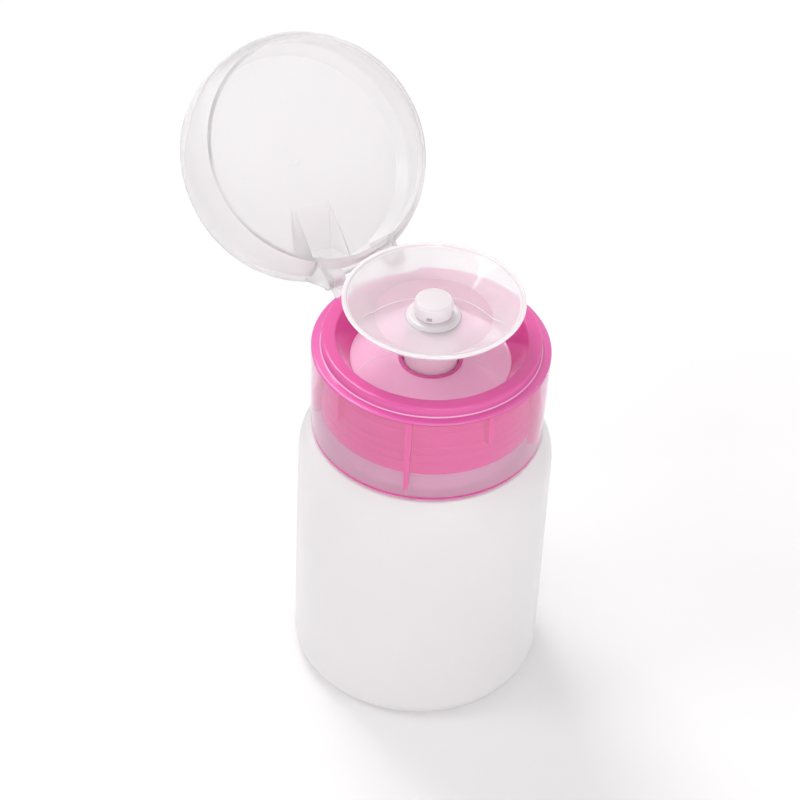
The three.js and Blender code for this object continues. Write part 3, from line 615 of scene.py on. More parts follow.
# Each finish gives its slot, its two colours, and its roughness where clean and where scuffed.
FINISHES: dict[Look, Finish] = {
    Look.FROSTED_BOTTLE: Finish(
        Slot.FROSTED, (0.998, 0.985, 0.987), (0.995, 0.975, 0.978), 0.38, 0.44,
        transmission=0.46, ior=1.35, sheen=0.55, grain=Grain(1400.0, 35.0, 0.5, 0.2, 0.06 * MM),
    ),
    Look.PINK_RIM: Finish(
        Slot.PINK, (0.92, 0.14, 0.48), (0.91, 0.12, 0.45), 0.06, 0.14,
        transmission=0.25, grain=PINK_GRAIN,
    ),
    Look.PINK_LEDGE: Finish(
        Slot.PINK, (0.86, 0.17, 0.51), (0.85, 0.15, 0.48), 0.06, 0.14,
        transmission=0.2, grain=PINK_GRAIN,
    ),
    Look.PINK_THREAD: Finish(
        Slot.PINK, (0.985, 0.045, 0.53), (0.97, 0.02, 0.46), 0.12, 0.2,
        transmission=0.16, ior=1.35, grain=PINK_GRAIN,
    ),
    Look.PINK_SKIRT: Finish(
        Slot.PINK, (0.995, 0.71, 0.87), (0.99, 0.69, 0.86), 0.04, 0.1,
        transmission=0.87, ior=1.36, grain=PINK_GRAIN,
    ),
    # The recess floor's pale pink: partly thin-wall colour, partly lightened as painted light,
    # and also put on the ridge's foot fillet as a painted highlight.
    Look.PINK_FLOOR_PAINTED_LIGHT: Finish(
        Slot.PINK, (0.997, 0.58, 0.80), (0.994, 0.54, 0.775), 0.08, 0.16,
        transmission=0.08, grain=PINK_GRAIN,
    ),
    Look.PINK_RIB: Finish(
        Slot.PINK, (0.99, 0.015, 0.52), (0.98, 0.01, 0.48), 0.12, 0.2,
        ior=1.35, grain=Grain(bump=0.08),
    ),
    # A pale pink for the raised floor lines: painted highlight lines.
    Look.PINK_PAINTED_GLINT: Finish(
        Slot.PINK, (0.995, 0.82, 0.90), (0.99, 0.78, 0.88), 0.1, 0.2, grain=Grain(bump=0.08),
    ),
    Look.CLEAR_LID: Finish(
        Slot.CLEAR, (0.965, 0.951, 0.957), (0.959, 0.944, 0.95), 0.06, 0.15,
        transmission=0.7, ior=1.27, grain=CLEAR_GRAIN,
    ),
    # A paler copy of the clear lid for the pocket and the hinge side: painted light.
    Look.CLEAR_POCKET: Finish(
        Slot.CLEAR, (0.99, 0.978, 0.983), (0.985, 0.972, 0.978), 0.1, 0.2,
        transmission=0.72, ior=1.25, grain=CLEAR_GRAIN,
    ),
    Look.CLEAR_HINGE: Finish(
        Slot.CLEAR, (0.995, 0.982, 0.988), (0.99, 0.976, 0.983), 0.12, 0.22,
        transmission=0.68, ior=1.25, grain=CLEAR_GRAIN,
    ),
    Look.MILKY_DISH: Finish(
        Slot.CLEAR, (0.99, 0.965, 0.98), (0.985, 0.958, 0.975), 0.04, 0.12,
        transmission=0.68, grain=CLEAR_GRAIN,
    ),
    Look.MILKY_WALL: Finish(
        Slot.CLEAR, (0.99, 0.968, 0.98), (0.985, 0.96, 0.975), 0.04, 0.12,
        transmission=0.58, grain=CLEAR_GRAIN,
    ),
    # The milkier rim finish, also put on the dish's raised lines as painted reflections.
    Look.MILKY_RIM_AND_GLINT: Finish(
        Slot.CLEAR, (0.99, 0.955, 0.97), (0.985, 0.945, 0.962), 0.08, 0.18,
        transmission=0.35, grain=CLEAR_GRAIN,
    ),
    Look.WHITE_MOULDING: Finish(
        Slot.WHITE, (0.985, 0.935, 0.96), (0.98, 0.925, 0.952), 0.28, 0.34,
        transmission=0.12, ior=1.4, grain=Grain(700.0, 40.0, 0.9, 0.06),
    ),
    # A darker copy of the white moulding for the outlet cap's top: painted shade.
    Look.WHITE_CROWN: Finish(
        Slot.WHITE, (0.86, 0.80, 0.825), (0.85, 0.785, 0.815), 0.3, 0.34,
        transmission=0.15, ior=1.4, grain=Grain(700.0, 40.0, 0.9, 0.04),
    ),
    Look.SOFT_PLASTIC: Finish(
        Slot.SOFT, (0.88, 0.88, 0.87), (0.86, 0.855, 0.85), 0.42, 0.52,
        transmission=0.35, grain=Grain(bump=0.15),
    ),
    Look.LINER: Finish(
        Slot.GASKET, (0.87, 0.86, 0.84), (0.8, 0.79, 0.77), 0.7, 0.85,
        grain=Grain(2200.0, wave_share=0.2, bump=0.5),
    ),
    Look.DRAWN_STEEL: Finish(
        Slot.STEEL, (0.62, 0.63, 0.65), (0.55, 0.56, 0.58), 0.18, 0.34,
        metallic=1.0, grain=Grain(2600.0, bump=0.12),
    ),
}


@dataclass
class Wardrobe:
    """The finishes as built materials."""

    materials: dict[Look, bpy.types.Material] = field(default_factory=dict)

    def stock(self) -> None:
        """Build every finish."""
        groups = EffectGroups(grain_group(), handling_group())
        for look, finish in FINISHES.items():
            self.materials[look] = finish.build(look.value, groups)
            LOG.info("finish %s", look.value)

    def dress(self, made: bpy.types.Object, look: Look) -> None:
        """Give a new piece one finish.

        Args:
            made: The piece.
            look: Its finish.
        """
        made.data.materials.clear()
        made.data.materials.append(self.materials[look])

    def dress_faces(self, made: bpy.types.Object, choose: Callable[[Vector], Look]) -> None:
        """Give each face of a piece its own finish.

        Args:
            made: The piece.
            choose: Gives the finish for the middle of a face.
        """
        made.data.materials.clear()
        order: list[Look] = []
        for face in made.data.polygons:
            look = choose(face.center)
            if look not in order:
                order.append(look)
                made.data.materials.append(self.materials[look])
            face.material_index = order.index(look)

    def dress_node(self, node: bpy.types.Object, look: Look) -> None:
        """Give a CAD node its finish."""
        for entry in node.material_slots:
            entry.material = self.materials[look]


def settle(made: bpy.types.Object, body: str, *nodes: str) -> None:
    """Let a piece ride on its body.

    Args:
        made: The piece.
        body: The body's name.
        nodes: The CAD nodes that the piece stands for.
    """
    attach(made, body)
    if nodes:
        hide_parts(*nodes)
    LOG.info("piece %s on %s", made.name, body)


@dataclass(frozen=True)
class PaintedGlintLines:
    """Fine raised lines on a moulding, dressed paler than the surface round them as painted
    highlights and reflections, each on a course through three points in millimetres.
    """

    name: str
    body: str
    look: Look
    width: float
    proud: float
    courses: tuple[Course, ...]
    end_share: float = 0.3
    crest_share: float = 0.4

    def line(self, name: str, path: list[Vector]) -> bpy.types.Object:
        """Make one line, which fades out at its ends.

        Args:
            name: The new object's name.
            path: Points on the surface that the line follows.

        Returns:
            The new object.
        """
        shape = bmesh.new()
        rings = []
        last = len(path) - 1
        rise = Vector((0, 0, self.proud))
        for i, place in enumerate(path):
            along = path[min(i + 1, last)] - path[max(i - 1, 0)]
            bulge = math.sin(math.pi * i / last) ** 0.5
            fade = self.end_share + (1 - self.end_share) * bulge
            aside = Vector((-along.y, along.x, 0)).normalized() * (self.width / 2 * fade)
            crest = aside * self.crest_share
            rings.append([shape.verts.new(corner) for corner in (
                place - aside - rise, place - crest + rise * fade,
                place + crest + rise * fade, place + aside - rise,
            )])
        skin(shape, rings)
        made = finished(name, shape)
        shade(made)
        return made

    def build(self, wardrobe: Wardrobe, height: Callable[[float], float]) -> None:
        """Lay the lines.

        Args:
            wardrobe: The finishes.
            height: Gives how high the surface is at a distance from the axis.
        """
        for number, course in enumerate(self.courses, start=1):
            path = [
                Vector((x * MM, y * MM, height(math.hypot(x, y) * MM)))
                for x, y in curve_through(course)
            ]
            made = self.line(f"{self.name}_{number}", path)
            wardrobe.dress(made, self.look)
            settle(made, self.body)


@dataclass(frozen=True)
class Heights:
    """Heights that several sub-assemblies share, the same as in the solids."""

    ledge: float = 94.0 * MM
    skirt: float = 23.5 * MM
    shelf: float = 69.9 * MM
    underside: float = 87.7 * MM


@dataclass
class Bottle:
    """The blown bottle with its neck and thread."""

    heights: Heights
    radius: float = 30.0 * MM
    wall: float = 1.2 * MM
    corner: float = 5.0 * MM
    shoulder_rise: float = 8.0 * MM
    shoulder_end: float = 1.0 * MM
    shoulder_inset: float = 2.3 * MM
    shoulder_steps: int = 14
    shelf_inset: float = 0.4 * MM
    inner_rise: float = 0.98
    neck_radius: float = 21.6 * MM
    neck_bore: float = 19.0 * MM
    neck_top: float = 85.9 * MM
    thread_proud: float = 0.45 * MM
    thread_rise: float = 5.5 * MM

    def outline(self) -> list[Point]:
        """Work out the bottle's section.

        Returns:
            The points from the middle of the underside round to the middle of the floor.
        """
        shelf = self.heights.shelf
        start = shelf - self.shoulder_rise
        shelf_edge = self.radius - self.shoulder_inset
        rise = self.shoulder_rise - self.shoulder_end
        outer: list[Corner] = [(0, 0, 0), (self.radius, 0, self.corner)]
        inner: list[Corner] = []
        for i in range(self.shoulder_steps + 1):
            share = i / self.shoulder_steps
            inset = self.shoulder_inset * share * share
            outer.append((self.radius - inset, start + rise * share, 0))
            inner.append((
                self.radius - self.wall - inset, start + rise * share * self.inner_rise, 0,
            ))
        outer += [
            (shelf_edge - self.shelf_inset, shelf, 0.5 * MM),
            (self.neck_radius, shelf, 1.2 * MM),
            (self.neck_radius, self.neck_top, 0.5 * MM),
            (self.neck_bore, self.neck_top, SOFT_EDGE),
            (self.neck_bore, shelf - self.wall, 1.2 * MM),
            (shelf_edge - self.wall, shelf - self.wall, 0.8 * MM),
            *reversed(inner),
            (self.radius - self.wall, self.wall, self.corner - self.wall),
            (0, self.wall, 0),
        ]
        return fillet(outer, closed=False)

    def build(self, wardrobe: Wardrobe) -> None:
        """Make the bottle and its thread.

        Args:
            wardrobe: The finishes.
        """
        shell = lathe("bottle_shell", self.outline())
        wardrobe.dress(shell, Look.FROSTED_BOTTLE)
        settle(shell, "bottle", "bottle")
        thread = Thread(
            radius=self.neck_radius - THREAD_ROOT,
            reach=self.thread_proud + THREAD_ROOT,
            start=self.heights.shelf + self.thread_rise,
        ).build("neck_thread")
        wardrobe.dress(thread, Look.FROSTED_BOTTLE)
        settle(thread, "bottle")


@dataclass
class Collar:
    """The pink screw collar and the clear hinge base set in it."""

    heights: Heights
    skirt_top: float = 27.7 * MM
    skirt_bottom: float = 27.2 * MM
    skirt_wall: float = 1.3 * MM
    ledge_thickness: float = 1.5 * MM
    ridge_outer: float = 25.5 * MM
    ridge_inner: float = 22.3 * MM
    ridge_height: float = 2.6 * MM
    ridge_draft: float = 0.1 * MM
    ridge_crest: float = 0.5 * MM
    foot_round: float = 0.28 * MM
    thread_skirt: float = 24.0 * MM
    thread_bore: float = 22.4 * MM
    thread_height: float = 18.0 * MM
    thread_start: float = 5.2 * MM
    thread_reach: float = -0.5 * MM
    thread_margin: float = 0.8 * MM
    floor_depth: float = 4.2 * MM
    floor_radius: float = 18.3 * MM
    floor_taper: float = 0.2 * MM
    boss_bore: float = 6.45 * MM
    boss_wall: float = 1.0 * MM
    boss_height: float = 0.45 * MM
    socket_bore: float = 9.1 * MM
    socket_wall: float = 1.4 * MM
    socket_height: float = 5.0 * MM
    rib_places: range = range(-3, 4)
    rib_spacing: float = math.radians(42.8)
    rib_top_width: float = 1.6 * MM
    rib_bottom_width: float = 1.0 * MM
    rib_root: float = 0.8 * MM
    long_rib: float = 22.0 * MM
    short_rib: float = 10.0 * MM
    bead: float = 0.25 * MM
    bead_proud: float = 0.7
    bead_drops: tuple[float, ...] = (14.6 * MM, 12.4 * MM, 10.0 * MM, 5.6 * MM)
    notch_half: float = 10.5 * MM
    notch_face: float = 24.6 * MM
    notch_depth: float = 4.6 * MM
    notch_radius: float = 23.4 * MM
    pivot_reach: float = 30.7 * MM
    pivot_height: float = 0.6 * MM
    knuckle: Arc = Arc(radius=2.0 * MM, start=-50, sweep=257, steps=24)
    knuckle_inner: float = 5.8 * MM
    knuckle_outer: float = 8.8 * MM
    pin_bore: float = 1.2 * MM
    # Raised lines on the recess floor, dressed in a pale pink as painted highlight lines.
    lines: PaintedGlintLines = PaintedGlintLines(
        "floor_glint_line", "collar", Look.PINK_PAINTED_GLINT, width=0.34 * MM, proud=0.09 * MM,
        courses=(
            ((-8.3, 5.9), (-12.8, 5.9), (-17.2, 4.2)),
            ((8.2, -4.6), (10.0, -9.6), (10.0, -15.6)),
        ),
    )

    @property
    def floor(self) -> float:
        """The height of the recess floor."""
        return self.heights.ledge - self.floor_depth

    @property
    def void_top(self) -> float:
        """The height of the ledge's underside, where the gap between the skirts ends."""
        return self.heights.ledge - self.ledge_thickness

    @property
    def boss_radius(self) -> float:
        """The boss ring's outer radius."""
        return self.boss_bore + self.boss_wall

    def outline(self) -> list[Point]:
        """Work out the collar's section.

        Returns:
            The points, from the boss down the inside, up the skirts and back over the ridge.
        """
        ledge = self.heights.ledge
        under = self.heights.underside
        top = ledge + self.ridge_height
        bottom = ledge - self.heights.skirt
        socket = under - self.socket_height
        socket_outer = self.socket_bore + self.socket_wall
        foot = ledge - self.thread_height
        return fillet([
            (self.boss_bore, under, FINE_EDGE),
            (self.socket_bore, under, SOFT_EDGE),
            (self.socket_bore, socket, FINE_EDGE),
            (socket_outer, socket, FINE_EDGE),
            (socket_outer, under, SOFT_EDGE),
            (self.thread_bore, under, SOFT_EDGE),
            (self.thread_bore, foot, FINE_EDGE),
            (self.thread_skirt, foot, SOFT_EDGE),
            *self.beads(),
            (self.thread_skirt, self.void_top, 0.4 * MM),
            (self.skirt_top - self.skirt_wall, self.void_top, 0.4 * MM),
            (self.skirt_bottom - self.skirt_wall, bottom, 0.2 * MM),
            (self.skirt_bottom, bottom, 0.35 * MM),
            (self.skirt_top, ledge, 0.45 * MM),
            (self.ridge_outer, ledge, self.foot_round),
            (self.ridge_outer - self.ridge_draft, top, 0.6 * MM),
            (self.ridge_inner, top, 0.7 * MM),
            (self.floor_radius + self.floor_taper, self.floor, 0.8 * MM),
            (self.boss_radius, self.floor, 0.25 * MM),
            (self.boss_radius, self.floor + self.boss_height, 0.25 * MM),
            (self.boss_bore, self.floor + self.boss_height, 0.2 * MM),
        ], closed=True)

    def beads(self) -> list[Corner]:
        """Work out the fine beads round the inner skirt.

        Returns:
            The corners of each bead, from the lowest bead up.
        """
        made: list[Corner] = []
        for drop in self.bead_drops:
            height = self.heights.ledge - drop
            made += [
                (self.thread_skirt, height - self.bead, 0),
                (self.thread_skirt + self.bead * self.bead_proud, height, 0.05 * MM),
                (self.thread_skirt, height + self.bead, 0),
            ]
        return made

    def ribs(self) -> list[bpy.types.Object]:
        """Make the ribs between the two skirts, long and short in turn.

        Returns:
            The ribs, which reach into the inner skirt and the ledge.
        """
        made = []
        inner = self.thread_skirt - self.rib_root
        outer = self.skirt_bottom - self.skirt_wall - 0.2 * MM
        top = self.heights.ledge - self.ledge_thickness / 2
        for place in self.rib_places:
            is_long = place % 2 != 0
            foot = self.heights.ledge - (self.long_rib if is_long else self.short_rib)
            rib = prism("rib", [
                (-self.rib_bottom_width / 2, foot),
                (self.rib_bottom_width / 2, foot),
                (self.rib_top_width / 2, top),
                (-self.rib_top_width / 2, top),
            ], inner, outer)
            made.append(turn_about_z(rib, place * self.rib_spacing - math.pi / 2))
        return made

    def look_at(self, middle: Vector) -> Look:
        """Choose a face's finish: the thick parts of the moulding look deepest, the recess
        floor's pale pink is partly lightened as painted light, and the fillet at the ridge's foot
        gets that pink as a painted highlight.

        Args:
            middle: The middle of the face.

        Returns:
            The finish.
        """
        reach = math.hypot(middle.x, middle.y)
        rise = middle.z - self.heights.ledge
        if middle.z < self.heights.ledge - self.heights.skirt + SOFT_EDGE:
            return Look.PINK_RIB
        if middle.z < self.void_top + SLACK:
            if reach > self.skirt_bottom - self.skirt_wall - SLACK:
                return Look.PINK_SKIRT
            if reach > self.thread_skirt + 2 * SLACK:
                return Look.PINK_RIB
            if reach > self.thread_bore - self.thread_margin:
                return Look.PINK_THREAD
        # The recess floor's pale pink is partly thin-wall colour, partly lightened as painted
        # light.
        on_floor = self.boss_radius < reach < self.floor_radius + SOFT_EDGE
        if on_floor and middle.z < self.floor + SOFT_EDGE:
            return Look.PINK_FLOOR_PAINTED_LIGHT
        # The fillet at the ridge's foot, short of the notch, gets the pale floor pink: a painted
        # highlight line.
        by_ridge = self.ridge_outer - SLACK < reach < self.ridge_outer + self.foot_round
        before_notch = middle.y < self.notch_face - self.ridge_height
        if by_ridge and before_notch and SLACK / 10 < rise < self.foot_round:
            return Look.PINK_FLOOR_PAINTED_LIGHT
        if reach > self.ridge_outer - SOFT_EDGE and rise < self.ridge_height - self.ridge_crest:
            return Look.PINK_LEDGE
        if reach < self.boss_radius + SLACK:
            return Look.PINK_LEDGE
        return Look.PINK_RIM

    def cap(self) -> bpy.types.Object:
        """Make the collar's moulding.

        Returns:
            The new object.
        """
        ledge = self.heights.ledge
        made = lathe("collar_cap", self.outline())
        thread = Thread(
            radius=self.thread_bore + THREAD_ROOT,
            reach=self.thread_reach - THREAD_ROOT,
            start=ledge - self.thread_height + self.thread_start,
        ).build("collar_thread")
        carve(made, [*self.ribs(), thread], Cut.ADD)
        notch = self.sector(
            "notch", (self.notch_radius, self.skirt_top * OVERSHOOT),
            (ledge - self.notch_depth, ledge + self.ridge_height + self.notch_depth),
            self.notch_half,
        )
        carve(made, [notch], Cut.REMOVE)
        return made

    def sector(self, name: str, reach: Point, height: Point, half: float) -> bpy.types.Object:
        """Make the part of a ring that lies at the hinge.

        Args:
            name: The new object's name.
            reach: The ring's inner and outer radius.
            height: The heights of its underside and its top.
            half: Half its width along X.

        Returns:
            The new object.
        """
        inner, outer = reach
        low, high = height
        edge = min(GAP, (outer - inner) / 4)
        made = lathe(name, fillet([
            (inner, low, 0), (outer, low, edge), (outer, high, edge), (inner, high, 0),
        ], closed=True))
        far = Vector((half, outer * OVERSHOOT, high + GAP))
        carve(made, [block("keep", Vector((-half, 0, low - GAP)), far)], Cut.KEEP)
        return made

    def hinge_base(self) -> bpy.types.Object:
        """Make the clear piece that carries the knuckles.

        Returns:
            The new object.
        """
        ledge = self.heights.ledge
        half = self.notch_half - GAP
        bottom = ledge - self.notch_depth + GAP
        top = ledge - GAP
        outer = self.skirt_top - GAP
        reach = (self.notch_radius + GAP, outer)
        made = self.sector("hinge_base_block", reach, (bottom, top), half)
        pivot = (self.pivot_reach, ledge + self.pivot_height)
        outline = [
            (self.notch_face + GAP, bottom), (outer, bottom),
            *self.knuckle.about(*pivot),
            (self.notch_face + GAP, top),
        ]
        carve(made, both_sides("arm", outline, self.knuckle_inner, self.knuckle_outer), Cut.ADD)
        bore = prism("bore", circle(self.pin_bore, *pivot), -half, half)
        carve(made, [bore], Cut.REMOVE)
        return made

    def build(self, wardrobe: Wardrobe) -> None:
        """Make the collar, its raised lines with painted highlights and its hinge base.

        Args:
            wardrobe: The finishes.
        """
        cap = self.cap()
        wardrobe.dress_faces(cap, self.look_at)
        settle(cap, "collar", "collar")
        self.lines.build(wardrobe, lambda reach: self.floor)
        base = self.hinge_base()
        wardrobe.dress(base, Look.CLEAR_HINGE)
        settle(base, "collar", "hinge_base")


@dataclass
class Lid:
    """The clear domed lid, drawn closed and turned open about its pivot."""

    heights: Heights
    height: float = 16.4 * MM
    radius: float = 29.85 * MM
    rim_radius: float = 27.67 * MM
    wall: float = 1.25 * MM
    rim_wall: float = 0.9 * MM
    plate: float = 1.5 * MM
    tuck: float = 8.5 * MM
    tuck_steps: int = 12
    outer_round: float = 3.4 * MM
    crease_radius: float = 26.1 * MM
    crease_rise: float = 2.6 * MM
    crease_round: float = 1.6 * MM
    gate_radius: float = 0.9 * MM
    gate_taper: float = 0.8
    gate_proud: float = 0.12 * MM
    rim_band: float = 3.0 * MM
    pocket_start: float = 11.2 * MM
    pocket_half: float = 4.65 * MM
    pocket_depth: float = 8.8 * MM
    pocket_front: float = 10.4 * MM
    pocket_back: float = 4.4 * MM
    pocket_wall: float = 0.8 * MM
    pocket_margin: float = 1.1
    window_start: float = 22.4 * MM
    pivot_reach: float = 30.7 * MM
    pivot_height: float = 0.6 * MM
    open_angle: float = math.radians(136.3)
    ear: Arc = Arc(radius=2.1 * MM, start=-100, sweep=160, steps=18)
    ear_inner: float = 9.1 * MM
    ear_thickness: float = 1.3 * MM
    pin_radius: float = 0.9 * MM
    pin_start: float = 6.1 * MM

    @property
    def inside_top(self) -> float:
        """The height of the plate's underside above the lid's rim."""
        return self.height - self.plate

    @property
    def pin_height(self) -> float:
        """The height of the pins above the lid's rim."""
        return self.pivot_height - GAP

    @property
    def ear_outer(self) -> float:
        """How far the ears' outer faces are from the middle."""
        return self.ear_inner + self.ear_thickness

    def side(self, rim: float, full: float) -> list[Corner]:
        """Work out one side of the lid's wall.

        Args:
            rim: The radius at the rim.
            full: The radius where the wall stands upright.

        Returns:
            The corners from the rim up.
        """
        made: list[Corner] = []
        for i in range(self.tuck_steps):
            rest = 1 - i / self.tuck_steps
            made.append((full - (full - rim) * rest * rest, self.tuck * (1 - rest), 0))
        return made

    def shell(self) -> bpy.types.Object:
        """Make the domed shell.

        Returns:
            The new object.
        """
        top = self.inside_top
        inside = self.side(self.rim_radius - self.rim_wall, self.radius - self.wall)
        inside += [
            (self.radius - self.wall, top - self.crease_rise, self.crease_round),
            (self.crease_radius, top, 0),
            (self.gate_radius, top, 0),
            (self.gate_radius * self.gate_taper, top - self.gate_proud, 0),
            (0, top - self.gate_proud, 0),
        ]
        outside = self.side(self.rim_radius, self.radius)
        outside += [(self.radius, self.height, self.outer_round), (0, self.height, 0)]
        return lathe("lid_shell", fillet(inside[::-1] + outside, closed=False))

    def pocket(self, name: str, wall: float, low: float) -> bpy.types.Object:
        """Make the wedge of the hinge pocket, or its hollow.

        Args:
            name: The new object's name.
            wall: How thick the wall round the hollow is, or 0 for the hollow.
            low: The height at which the wedge starts.

        Returns:
            The new object.
        """
        bottom = self.pocket_start + self.pocket_front
        end = bottom + self.pocket_back
        tip = self.inside_top + self.pocket_depth + wall
        outline = [
            (self.pocket_start - wall, low),
            (end + wall, low),
            (end + wall, self.inside_top),
            (bottom + wall * 0.5, tip),
            (bottom - wall * 0.5, tip),
            (self.pocket_start - wall, self.inside_top + wall),
        ]
        half = self.pocket_half + wall
        return prism(name, outline, -half, half)

    def ear_outline(self) -> list[Point]:
        """Work out the outline of the two ears that carry the pins.

        Returns:
            The points, from the root round the pin's eye and back.
        """
        root = math.sqrt(self.rim_radius ** 2 - self.ear_outer ** 2) - self.rim_wall
        end = math.sqrt(self.radius ** 2 - self.ear_outer ** 2)
        top = self.inside_top - self.outer_round
        return [
            (root, 0.0), (self.rim_radius, 0.0),
            *self.ear.about(self.pivot_reach, self.pin_height),
            (end, top), (root, top),
        ]

    def look_at(self, middle: Vector) -> Look:
        """Choose the finish of a face of the closed lid: the pocket's thin walls and the faces by
        the hinge get a paler, slightly clearer copy, which paints light on them.

        Args:
            middle: The middle of the face.

        Returns:
            The finish.
        """
        aside = abs(middle.x)
        in_pocket = (
            aside < self.pocket_half + self.pocket_margin * self.pocket_wall
            and middle.y > self.pocket_start - self.pocket_wall
        )
        past_plate = (
            middle.z > self.height + GAP
            or self.inside_top < middle.z < self.height - GAP
        )
        by_hinge = aside < self.ear_outer + GAP and middle.y > self.window_start
        # The pocket and the hinge side get the paler copy: painted light.
        if in_pocket and past_plate or by_hinge:
            return Look.CLEAR_POCKET
        return Look.CLEAR_LID

    def closed(self) -> bpy.types.Object:
        """Make the lid with its rim on the ground.

        Returns:
            The new object.
        """
        made = self.shell()
        top = self.inside_top
        carve(made, [self.pocket("pocket", self.pocket_wall, top)], Cut.ADD)
        carve(made, [self.pocket("hollow", 0, top - self.plate)], Cut.REMOVE)
        window = block(
            "window",
            Vector((-self.ear_inner, self.window_start, self.rim_band)),
            Vector((self.ear_inner, self.radius * OVERSHOOT, top - self.outer_round / 2)),
        )
        carve(made, [window], Cut.REMOVE)
        pin = circle(self.pin_radius, self.pivot_reach, self.pin_height)
        carve(made, [
            *both_sides("ear", self.ear_outline(), self.ear_inner, self.ear_outer),
            *both_sides("pin", pin, self.pin_start, self.ear_outer - SLACK),
        ], Cut.ADD)
        return made

    def build(self, wardrobe: Wardrobe) -> None:
        """Make the lid and turn it open.

        Args:
            wardrobe: The finishes.
        """
        made = self.closed()
        wardrobe.dress_faces(made, self.look_at)
        pivot = Vector((0, self.pivot_reach, self.heights.ledge + self.pivot_height))
        to_pivot = Matrix.Translation((0, -self.pivot_reach, -self.pin_height))
        turn = Matrix.Rotation(-self.open_angle, 4, "X")
        made.data.transform(Matrix.Translation(pivot) @ turn @ to_pivot)
        settle(made, "lid", "lid")


@dataclass
class PressHead:
    """The dish, its outlet cap and the stem under it."""

    heights: Heights
    radius: float = 21.05 * MM
    rim_height: float = 13.54 * MM
    lip_height: float = 0.4 * MM
    lip_width: float = 1.0 * MM
    lip_root: float = 0.4 * MM
    lip_drop: float = 0.2 * MM
    wall: float = 0.7 * MM
    wall_curve: float = 0.08
    wall_steps: int = 16
    floor_height: float = 8.5 * MM
    floor_radius: float = 13.6 * MM
    floor_thickness: float = 1.0 * MM
    milky_from: float = 12.4 * MM
    boss_radius: float = 5.75 * MM
    boss_foot: float = 0.7 * MM
    boss_margin: float = 0.5 * MM
    boss_height: float = 1.0 * MM
    hole: float = 3.7 * MM
    cap_radius: float = 4.5 * MM
    cap_height: float = 3.6 * MM
    cap_roof: float = 1.4 * MM
    cap_bore: float = 2.4 * MM
    cap_draft: float = 0.1 * MM
    stub_depth: float = 1.5 * MM
    slot_width: float = 1.3 * MM
    slot_height: float = 0.9 * MM
    slot_reach: float = 5.85 * MM
    slots: int = 4
    sleeve: float = 6.28 * MM
    sleeve_wall: float = 1.28 * MM
    sleeve_bottom: float = 7.0 * MM
    sleeve_roof: float = 1.5 * MM
    tube: float = 3.2 * MM
    bore: float = 1.6 * MM
    ball_bore: float = 2.3 * MM
    ball_depth: float = 2.5 * MM
    seat_depth: float = 3.3 * MM
    rod_depth: float = 8.0 * MM
    stem_bottom: float = 20.0 * MM
    # Raised lines on the dish, dressed in the milkier rim finish as painted reflections.
    lines: PaintedGlintLines = PaintedGlintLines(
        "dish_glint_line", "press_head", Look.MILKY_RIM_AND_GLINT, width=0.45 * MM, proud=0.07 * MM,
        courses=(
            ((-16.7, 4.0), (-9.8, 8.1), (-0.4, 7.5)),
            ((7.6, 3.6), (10.9, -3.4), (11.3, -12.6)),
        ),
    )

    @property
    def floor(self) -> float:
        """The height of the dish's floor."""
        return self.heights.ledge + self.floor_height

    @property
    def rim(self) -> float:
        """The height of the dish's rim."""
        return self.heights.ledge + self.rim_height

    @property
    def run(self) -> float:
        """How far the dish's wall runs outward."""
        return self.radius - self.lip_width - self.floor_radius

    @property
    def cap_bottom(self) -> float:
        """The height of the outlet cap's underside."""
        return self.floor + self.boss_height + GAP

    def bowl(self, offset: float, drop: float) -> list[Corner]:
        """Work out the curve of the dish's wall.

        Args:
            offset: How far outward it is moved.
            drop: How far down it is moved.

        Returns:
            The corners from the floor up.
        """
        rise = self.rim_height - self.floor_height
        made: list[Corner] = []
        for i in range(self.wall_steps + 1):
            angle = math.pi / 2 * i / self.wall_steps
            share = math.sin(angle)
            climb = self.wall_curve * (1 - math.cos(angle)) + (1 - self.wall_curve) * share
            reach = self.floor_radius + offset + self.run * share
            made.append((reach, self.floor - drop + rise * climb, 0))
        return made

    def surface(self, reach: float) -> float:
        """Work out how high the dish's upper face is.

        Args:
            reach: The distance from the axis.

        Returns:
            The height.
        """
        share = max(0.0, (reach - self.floor_radius) / self.run)
        climb = self.wall_curve * (1 - math.sqrt(1 - min(share, 1.0) ** 2))
        climb += (1 - self.wall_curve) * share
        return self.floor + (self.rim_height - self.floor_height) * climb

    def dish(self) -> bpy.types.Object:
        """Make the dish.

        Returns:
            The new object.
        """
        lip = self.rim - self.lip_height
        lower = self.bowl(self.wall / 2, self.floor_thickness)
        upper = self.bowl(0, 0)[::-1]
        upper[0] = (upper[0][0], upper[0][1], SOFT_EDGE)
        return lathe("dish_bowl", fillet([
            (self.hole, self.floor - self.floor_thickness, 0.2 * MM),
            *(corner for corner in lower if corner[1] < lip),
            (self.radius - self.lip_width + self.wall / 2, lip, 0.2 * MM),
            (self.radius, lip, SOFT_EDGE),
            (self.radius, self.rim, 0.45 * MM),
            *upper,
            (self.boss_radius + self.boss_foot, self.floor, 0.5 * MM),
            (self.boss_radius, self.floor + self.boss_height, 0.4 * MM),
            (self.hole, self.floor + self.boss_height, 0.2 * MM),
        ], closed=True))

    def look_at(self, middle: Vector) -> Look:
        """Choose the finish of a face of the dish.

        Args:
            middle: The middle of the face.

        Returns:
            The finish.
        """
        reach = math.hypot(middle.x, middle.y)
        on_lip = reach > self.radius - self.lip_width - self.lip_root
        if on_lip and middle.z > self.rim - self.lip_height - self.lip_drop:
            return Look.MILKY_RIM_AND_GLINT
        if reach < self.boss_radius + self.boss_margin and middle.z > self.floor:
            return Look.MILKY_RIM_AND_GLINT
        return Look.MILKY_WALL if reach > self.milky_from else Look.MILKY_DISH

